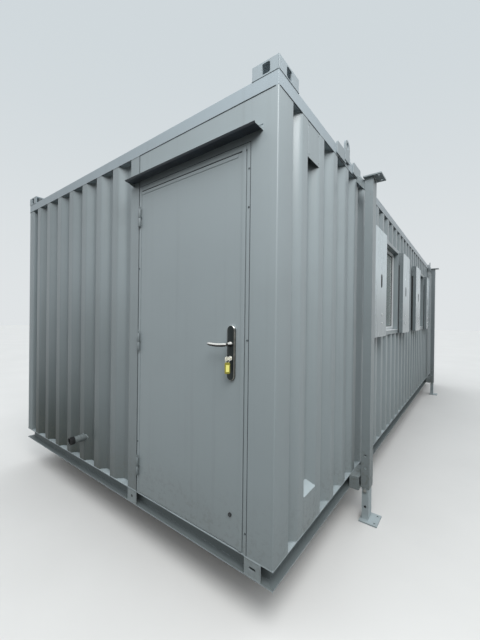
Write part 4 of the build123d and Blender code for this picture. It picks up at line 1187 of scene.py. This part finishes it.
hood_shape = bmesh.new()
hood_slab(hood_fold, hood_left, hood_right)
for cheek_x, drop in ((hood_left + 0.0005, 0.030), (hood_right - hood_sheet - 0.0005, 0.012)):
    hood_slab([(0.0, -0.0015), (-0.052, -0.0105), (0.0, -drop)], cheek_x, cheek_x + hood_sheet)
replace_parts(close_shape("folded door hood", hood_shape, hood_paint, "cabin"), "door_hood")
hood_run = [(x, front_y - 0.003, hood_top) for x in (hood_left, hood_right)]
seal("hood top sealant", [hood_run], 0.003, paint_sealant)
hood_screws, screw_margin = 6, 0.06
screw_span = hood_right - hood_left - 2 * screw_margin
screw_row = [hood_left + screw_margin + screw_span * step / (hood_screws - 1) for step in range(hood_screws)]
hood_spots = [((x, front_y - 0.003, hood_top - upstand / 2), out_front) for x in screw_row]
fasteners("hood screws", screw_head(0.005, 0.0035, 0.0075, True), hood_spots, dull_steel, seed=5)


# Waste pipe: grey solvent-weld plastic through a hole in the sheet, closed with sealant.
# A black sleeve covers the last 36 mm of the outer end, and a black lining in the bore is painted shade in the pipe.
pipe_grey = plastic("grey waste pipe", shade(108, 115, 115), 0.2)
pipe_fall = math.radians(1.0)
pipe_axis = Vector((0, -math.cos(pipe_fall), -math.sin(pipe_fall)))
pipe_root = Vector((pipe_x, front_y + 0.047, pipe_z + 0.0008))
pipe_length = (pipe_root.y - pipe_low.y) / math.cos(pipe_fall) - 0.001
pipe_line = (pipe_root, pipe_axis, 36)
bore = pipe_radius - 0.0025
outside = [(pipe_radius, 0.0), (pipe_radius, pipe_length - 0.002), (pipe_radius - 0.0005, pipe_length - 0.0006)]
inside = [(pipe_radius - 0.0012, pipe_length), (bore, pipe_length - 0.0008), (bore, 0.002)]
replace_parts(turned("waste pipe", [(0, 0), *outside, *inside, (0, 0.002)], *pipe_line, pipe_grey), "waste_pipe")
# The black lining of the bore is painted shade inside the pipe.
bore_shade_radius = bore - 0.0002
painted_shade_film = [(bore_shade_radius, 0.004), (bore_shade_radius, pipe_length - 0.004), (bore_shade_radius - 0.001, pipe_length - 0.005)]
turned("drain film", [*painted_shade_film, (bore_shade_radius - 0.0012, 0.005), (0, 0.005)], *pipe_line, black_rubber)
sleeve_start, sleeve_end = pipe_length - 0.036, pipe_length + 0.0006
sleeve_inner, sleeve_outer, lip = pipe_radius - 0.0003, pipe_radius + 0.0026, pipe_radius - 0.0024
sleeve = [(sleeve_inner, sleeve_start), (sleeve_outer - 0.0004, sleeve_start), (sleeve_outer, sleeve_start + 0.001)]
sleeve += [(sleeve_outer, sleeve_end - 0.001), (sleeve_outer - 0.0008, sleeve_end), (lip, sleeve_end)]
sleeve += [(lip, sleeve_end - 0.003), (sleeve_inner, sleeve_end - 0.003)]
turned("pipe end sleeve", [*sleeve, sleeve[0]], *pipe_line, black_rubber)
collar_run = []
collar_radius = pipe_radius + 0.001
collar_steps = 32
for step in range(collar_steps + 1):
    angle = 2 * math.pi * step / collar_steps
    across = pipe_x + collar_radius * math.cos(angle)
    depth = sheet_depth(across - posts_low.x, *front_values[2:])
    collar_run.append((across, front_y + depth - 0.001, pipe_z + collar_radius * math.sin(angle)))
seal("pipe sealant", [collar_run], 0.0036, paint_sealant)


# Service covers: folded plates over one trough, screwed top and bottom.
# The upper one is open below for cables, the lower one is closed by a sloping ledge.
cover_paint = enamel("service cover enamel", tint(cabin_grey, 1.0), dust=0.2, splash=0.5, scuffs=0.3, rust=0.1)
dress(["service_covers"], cover_paint, 0.0006)
cover_low, cover_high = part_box("service_covers")
out_right = (1, 0, 0)
cover_spots = []
for spot_y in (cover_low.y + 0.012, cover_high.y - 0.012):
    for spot_z in (wall_bottom + 0.018, wall_bottom + 0.180, wall_top - 0.180, wall_top - 0.018):
        cover_spots.append(((cover_high.x, spot_y, spot_z), out_right))
fasteners("cover screws", screw_head(0.004, 0.0025), cover_spots, cover_paint, seed=8)
# The ledge is painted much lighter than the covers: a painted highlight where it faces the sky.
ledge_painted_light = enamel("cover ledge enamel", tint(cabin_grey, 1.55), dust=0.3, splash=0.0, scuffs=0.3)
ledge_z = wall_bottom + 0.2005
ledge_outline = [(0.0015, -0.001), (-0.044, 0.046), (-0.044, 0.048), (0.0015, 0.0015)]
ledge_ends = (cover_low.y + 0.002, cover_high.y - 0.002)
ledge_rings = [[(posts_high.x + x, y, ledge_z + z) for x, z in ledge_outline] for y in ledge_ends]
lofted("cover ledge", ledge_rings, ledge_painted_light)


# Windows: a folded steel surround proud of the wall, and a white plastic casement inside it.
# Black gaskets hold the sealed double pane; a painted bead of sealant frames the surround.
surround_paint = enamel("window surround enamel", tint(cabin_grey, 1.02), dust=0.22, splash=0.0, scuffs=0.15)
dress(["window_surrounds"], surround_paint, 0.0012)
# The white is toned down to grey-white, partly painted shade of the reveals.
white_plastic = plastic("white window plastic", shade(206, 210, 211), 0.3)
sash_low, sash_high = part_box("window_sashes")
sash_front, sash_back = sash_high.x, sash_low.x
reveal_width = 0.850
window_spans = [(start, start + reveal_width) for start in (sash_low.y, sash_high.y - reveal_width)]


def casement_frame(shape, start, end, section):
    """A frame from (inset, x) points, swept round one window with mitred corners."""
    rings = []
    for far, high in ((0, 0), (1, 0), (1, 1), (0, 1), (0, 0)):
        ring = []
        for inset, x in section:
            z = sash_high.z - inset if high else sash_low.z + inset
            ring.append((x, end - inset if far else start + inset, z))
        rings.append(ring)
    loft(shape, rings, close_ends=False)


sash_shape = bmesh.new()
gasket_runs = []
gasket_inset = 0.0455
outer_section = [
    (0.0, sash_back),
    (0.0, sash_front - 0.012),
    (0.002, sash_front - 0.010),
    (0.016, sash_front - 0.010),
    (0.018, sash_front - 0.012),
    (0.018, sash_back),
]
inner_section = [
    (0.0185, sash_back + 0.002),
    (0.0185, sash_front - 0.003),
    (0.0205, sash_front),
    (0.034, sash_front),
    (0.0385, sash_front - 0.004),
    (0.0445, sash_front - 0.013),
    (0.0445, sash_back + 0.008),
    (0.036, sash_back + 0.002),
]
for start, end in window_spans:
    casement_frame(sash_shape, start, end, outer_section)
    casement_frame(sash_shape, start, end, inner_section)
    gasket_low = (start + gasket_inset, sash_low.z + gasket_inset)
    gasket_high = (end - gasket_inset, sash_high.z - gasket_inset)
    for gasket_x in (sash_front - 0.0135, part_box("window_glass")[0].x - 0.001):
        gasket_runs.append(rectangle("X", gasket_x, gasket_low, gasket_high))
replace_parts(close_shape("white casements", sash_shape, white_plastic, "cabin"), "window_sashes")
seal("glazing gaskets", gasket_runs, 0.0024, black_rubber)


def pane():
    """Clear glass with a faint green body, rain marks and dust on its surface; its pale share that lets no light
    through is a painted reflection.
    """
    material, place = start_finish("window glass")
    marks = fade(cloud(stretched(place, (40.0, 40.0, 6.0)), 1.0, 5.0, 0.7), 0.55, 0.75)
    base = blend(marks, shade(236, 244, 240), shade(214, 220, 216))
    return end_finish(material, base, 0.03 + 0.25 * marks, None, {"Transmission Weight": 0.88, "IOR": 1.5})


dress(["window_glass"], pane())
handle_shape = bmesh.new()
sills = []
handle_x, handle_z = sash_back + 0.002, (sash_low.z + sash_high.z) / 2
handle_bars = [
    ((-0.008, -0.013, -0.03), (0.0, 0.013, 0.03), 0.003),
    ((-0.03, -0.008, -0.012), (-0.004, 0.008, 0.012), 0.004),
    ((-0.034, -0.009, -0.11), (-0.02, 0.009, 0.012), 0.004),
]
for start, end in window_spans:
    handle_middle = Vector((handle_x, end - 0.028, handle_z))
    for low, high, ease in handle_bars:
        bar(handle_shape, handle_middle + Vector(low), handle_middle + Vector(high), ease)
    sill_low = (sash_front - 0.012, start + 0.001, sash_low.z)
    sills.append((sill_low, (surround_high.x + 0.004, end - 0.001, sash_low.z + 0.006)))
close_shape("window handles", handle_shape, white_plastic, "cabin")
barred("window sill trims", sills, plastic("white sill plastic", shade(232, 235, 236), 0.3), ease=0.0015)
surround_runs = []
for low, high in window_boxes:
    for seam_z in (low[2] - 0.001, high[2] + 0.001):
        surround_runs.append([(posts_high.x - 0.046, y, seam_z) for y in (low[1], high[1])])
seal("surround sealant", surround_runs, 0.004, paint_sealant)


# Shutters: folded steel pans hung on welded knuckles and laid back against the wall.
# Each has a slot for its locking bar and two dome bolts that hold the bar's keep.
def shutter_painted_sheen_finish():
    """Enamel with a painted sheen: broad faces much lighter, most near the top, a painted sky reflection; the folds
    darker, painted shade.
    """
    material, place = start_finish("shutter enamel")
    broad = fade(facing_of(place, "X"), 0.5, 0.9)
    height = part_of(place, "Z")
    patches = fade(cloud(stretched(place, (5.0, 5.0, 2.0)), 1.0, 5.0, 0.6), 0.35, 0.7)
    drips = fade(cloud(stretched(place, (60.0, 60.0, 2.0)), 1.0, 4.0, 0.6), 0.5, 0.75)
    painted_sheen = blend(fade(height, 1.5, 2.1), tint(cabin_grey, 0.95), tint(cabin_grey, 2.3))
    painted_sheen = blend(patches * 0.15, painted_sheen, tint(cabin_grey, 1.4))
    painted_fold_shade = blend(drips * 0.5, tint(cabin_grey, 0.72), tint(cabin_grey, 0.6))
    base = blend(drips * 0.2, blend(broad, painted_fold_shade, painted_sheen), tint(cabin_grey, 0.8))
    bumps = cloud(place, 260.0, 2.0) * 0.00003 + patches * 0.00004
    return end_finish(material, base, 0.16 + 0.15 * patches, bumps)


shutter_paint = shutter_painted_sheen_finish()
shutter_nodes = ["front_window_shutters", "rear_window_shutters"]
dress(shutter_nodes, shutter_paint, 0.0008)
bolt_spots = []
# A black fill set into each slot is painted shade inside the slot.
slot_shade_fills = bmesh.new()
shutter_width = 0.490
shutter_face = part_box(shutter_nodes[0])[1].x
slot_inset = 0.205
slot_middle = underside + 1.668
for name in shutter_nodes:
    low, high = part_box(name)
    for inner, direction in ((low.y + shutter_width, -1), (high.y - shutter_width, 1)):
        slot_y = inner + direction * slot_inset
        for bolt_z in (1.604, 1.520):
            bolt_spots.append(((shutter_face, slot_y - direction * 0.02, bolt_z), out_right))
        flap = [(slot_y + y, slot_middle + z) for y, z in stadium(0.0295, 0.0635)]
        loft(slot_shade_fills, [[(shutter_face - depth, y, z) for y, z in flap] for depth in (0.006, 0.003)])
close_shape("shutter slot flaps", slot_shade_fills, black_rubber, "cabin")
# Black strips behind the shutters' edges are a painted shadow in the gap to the wall.
shutter_shadow_strips = []
for name in shutter_nodes:
    low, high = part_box(name)
    for start, end in ((low.y, low.y + shutter_width), (high.y - shutter_width, high.y)):
        for first, last in ((start - 0.005, start + 0.02), (end - 0.02, end + 0.005)):
            shutter_shadow_strips.append(((posts_high.x - 0.002, first, low.z + 0.006), (low.x + 0.017, last, high.z - 0.15)))
barred("shutter seal strips", shutter_shadow_strips, black_rubber)
bolt_steel = metal("shutter bolt zinc", shade(212, 216, 216), 0.4, 0.5, 0.6)
fasteners("shutter bolts", screw_head(0.011, 0.005, 0.015), bolt_spots, bolt_steel, seed=11)


# Jacklegs: square sleeves on welded brackets outside the wall, with legs that slide in them.
# Each leg is held by a turned pin through the sleeve's foot and stands on a drilled plate.
leg_paint = enamel("jackleg enamel", tint(cabin_grey, 0.8), dust=0.3, splash=0.5, scuffs=0.5, rust=0.2)
# Legs and foot plates are painted much lighter than the cabin: a painted highlight of the sky on the plates' tops,
# with real scuffs and rust.
foot_painted_light = enamel("foot plate enamel", tint(cabin_grey, 1.5), dust=0.3, splash=0.0, scuffs=0.6, rust=0.2)
dress(["jackleg_sleeves", "jackleg_brackets"], leg_paint, 0.0014)
leg_names = ["jackleg_front_left", "jackleg_front_right", "jackleg_back_left", "jackleg_back_right"]
dress(leg_names, foot_painted_light, 0.001)
sleeve_across = 0.062
sleeve_along = 0.100
sleeve_middle = posts_high.x + 0.069 + sleeve_across / 2
sleeve_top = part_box("jackleg_sleeves")[1].z - 0.010
half_bracket = 0.107
jackleg_inset = 1.257
sleeve_runs = []
for side, end_y, inward in corners:
    leg_y = end_y + inward * jackleg_inset
    x0, x1 = (side * (sleeve_middle + way * sleeve_across / 2) for way in (-1, 1))
    y0, y1 = (leg_y + way * sleeve_along / 2 for way in (-1, 1))
    sleeve_runs.append(rectangle("Z", sleeve_top, (x0, y0), (x1, y1)))
    for z in (base_low.z + 0.001, base_high.z - 0.001):
        sleeve_runs.append([(x0, y0, z), (x0, y1, z)])
    bracket_x = side * (posts_high.x + 0.001)
    for y in (leg_y - half_bracket, leg_y + half_bracket):
        sleeve_runs.append([(bracket_x, y, z) for z in (base_low.z + 0.004, base_high.z - 0.004)])
weld("sleeve welds", sleeve_runs, radius=0.003, ripple=0.007, material=leg_paint)
zinc = metal("zinc plated pin", shade(150, 152, 148), 0.4, 0.6)
half_x, half_y = 0.025, 0.044
foot_z = 0.0115
pin_z = underside - 0.0098
pin_end = [(0, 0.0), (0.0125, 0.0), (0.0125, 0.0028), (0.0115, 0.0036), (0, 0.0036)]
for name, (side, end_y, inward) in zip(leg_names, corners):
    leg_y = end_y + inward * jackleg_inset
    leg_x = side * sleeve_middle
    body = name.replace("jackleg_", "") + "_leg"
    foot_run = rectangle("Z", foot_z, (leg_x - half_x, leg_y - half_y), (leg_x + half_x, leg_y + half_y))
    weld(f"{name} foot weld", [foot_run], body, 0.0035, 0.007, foot_painted_light)
    pin_shape = bmesh.new()
    for way in (-1, 1):
        lathe(pin_shape, pin_end, (leg_x, leg_y + way * 0.0585, pin_z), (0, way, 0), 20)
    clip_middle = Vector((leg_x, leg_y - 0.0555, pin_z - 0.006))
    wire_ring(pin_shape, clip_middle, 0.014, Vector((1, 0, 0)), Vector((0, 1, 0)), 24)
    close_shape(f"{name} pin ends", pin_shape, zinc, body)


# Stage: a pale matt floor, an even sky of studio light and a camera at the photograph's place.
# To other rays the floor is darker, so that surfaces that face down keep the shade of a yard.
def seen_rays(wire):
    """1 for the camera's rays and for those in reflections and glass, 0 for the light on the cabin."""
    seen = wire.node("ShaderNodeLightPath", output="Is Camera Ray")
    paths = seen.socket.node
    for label in ("Is Glossy Ray", "Is Transmission Ray"):
        seen = seen.math("MAXIMUM", seen, Wire(seen.tree, paths.outputs[label]))
    return seen


floor_half = 60.0
floor_mesh = bpy.data.meshes.new("floor")
floor_corners = [(x * floor_half, y * floor_half, 0) for x, y in ((-1, -1), (1, -1), (1, 1), (-1, 1))]
floor_mesh.from_pydata(floor_corners, [], [(0, 1, 2, 3)])
floor = add_object("floor", floor_mesh)
floor_finish, floor_place = start_finish("pale floor")
floor_tone = fade(cloud(floor_place, 0.7, 5.0, 0.6), 0.3, 0.7)
pale = blend(floor_tone, shade(209, 208, 205), shade(213, 212, 209))
floor_colour = blend(seen_rays(floor_place), shade(52, 50, 46), pale)
floor_mesh.materials.append(end_finish(floor_finish, floor_colour, 0.85 + 0.1 * floor_tone))

world = bpy.data.worlds.new("studio sky")
bpy.context.scene.world = world
world.use_nodes = True
world.node_tree.nodes.clear()
sky_height = part_of(Wire(world.node_tree, None).node("ShaderNodeTexCoord", output=0), "Z")
sky_light = blend(fade(sky_height, 0.0, 1.0), (0.26, 0.27, 0.27, 1.0), (1.6, 1.67, 1.74, 1.0))
sky_pale = blend(fade(sky_height, -0.02, 0.7), shade(224, 228, 230), shade(208, 216, 220))
sky_colour = blend(seen_rays(sky_height), sky_light, sky_pale)
sky = sky_colour.node("ShaderNodeBackground", {"Color": sky_colour, "Strength": 1.0})
sky.node("ShaderNodeOutputWorld", {"Surface": sky})

key_data = bpy.data.lights.new("soft key", "AREA")
key_data.shape = "DISK"
key_data.size = 2.0
key_data.energy = 92.0
key = add_object("soft key", key_data)
key.location = (2.8, -5.1, 4.0)
key.rotation_euler = (Vector((1.1, -3.6, 2.0)) - key.location).to_track_quat("-Z", "Y").to_euler()

camera_data = bpy.data.cameras.new("photograph camera")
camera_data.sensor_width = 36.0
camera_data.lens = 17.147
camera_data.clip_start = 0.05
camera_data.clip_end = 300.0
camera = add_object("photograph camera", camera_data)
yaw = math.radians(-37.058)
pitch = math.radians(-0.2305)
roll = math.radians(0.681)
forward = Vector((math.sin(yaw) * math.cos(pitch), math.cos(yaw) * math.cos(pitch), math.sin(pitch)))
level_right = Vector((math.cos(yaw), -math.sin(yaw), 0.0))
level_up = level_right.cross(forward)
right = level_right * math.cos(roll) + level_up * math.sin(roll)
up = level_up * math.cos(roll) - level_right * math.sin(roll)
axes = Matrix((right, up, -forward)).transposed().to_4x4()
camera.matrix_world = Matrix.Translation((2.2557, -5.0006, 1.5461)) @ axes
bpy.context.scene.camera = camera
bpy.context.scene.view_settings.view_transform = "Standard"
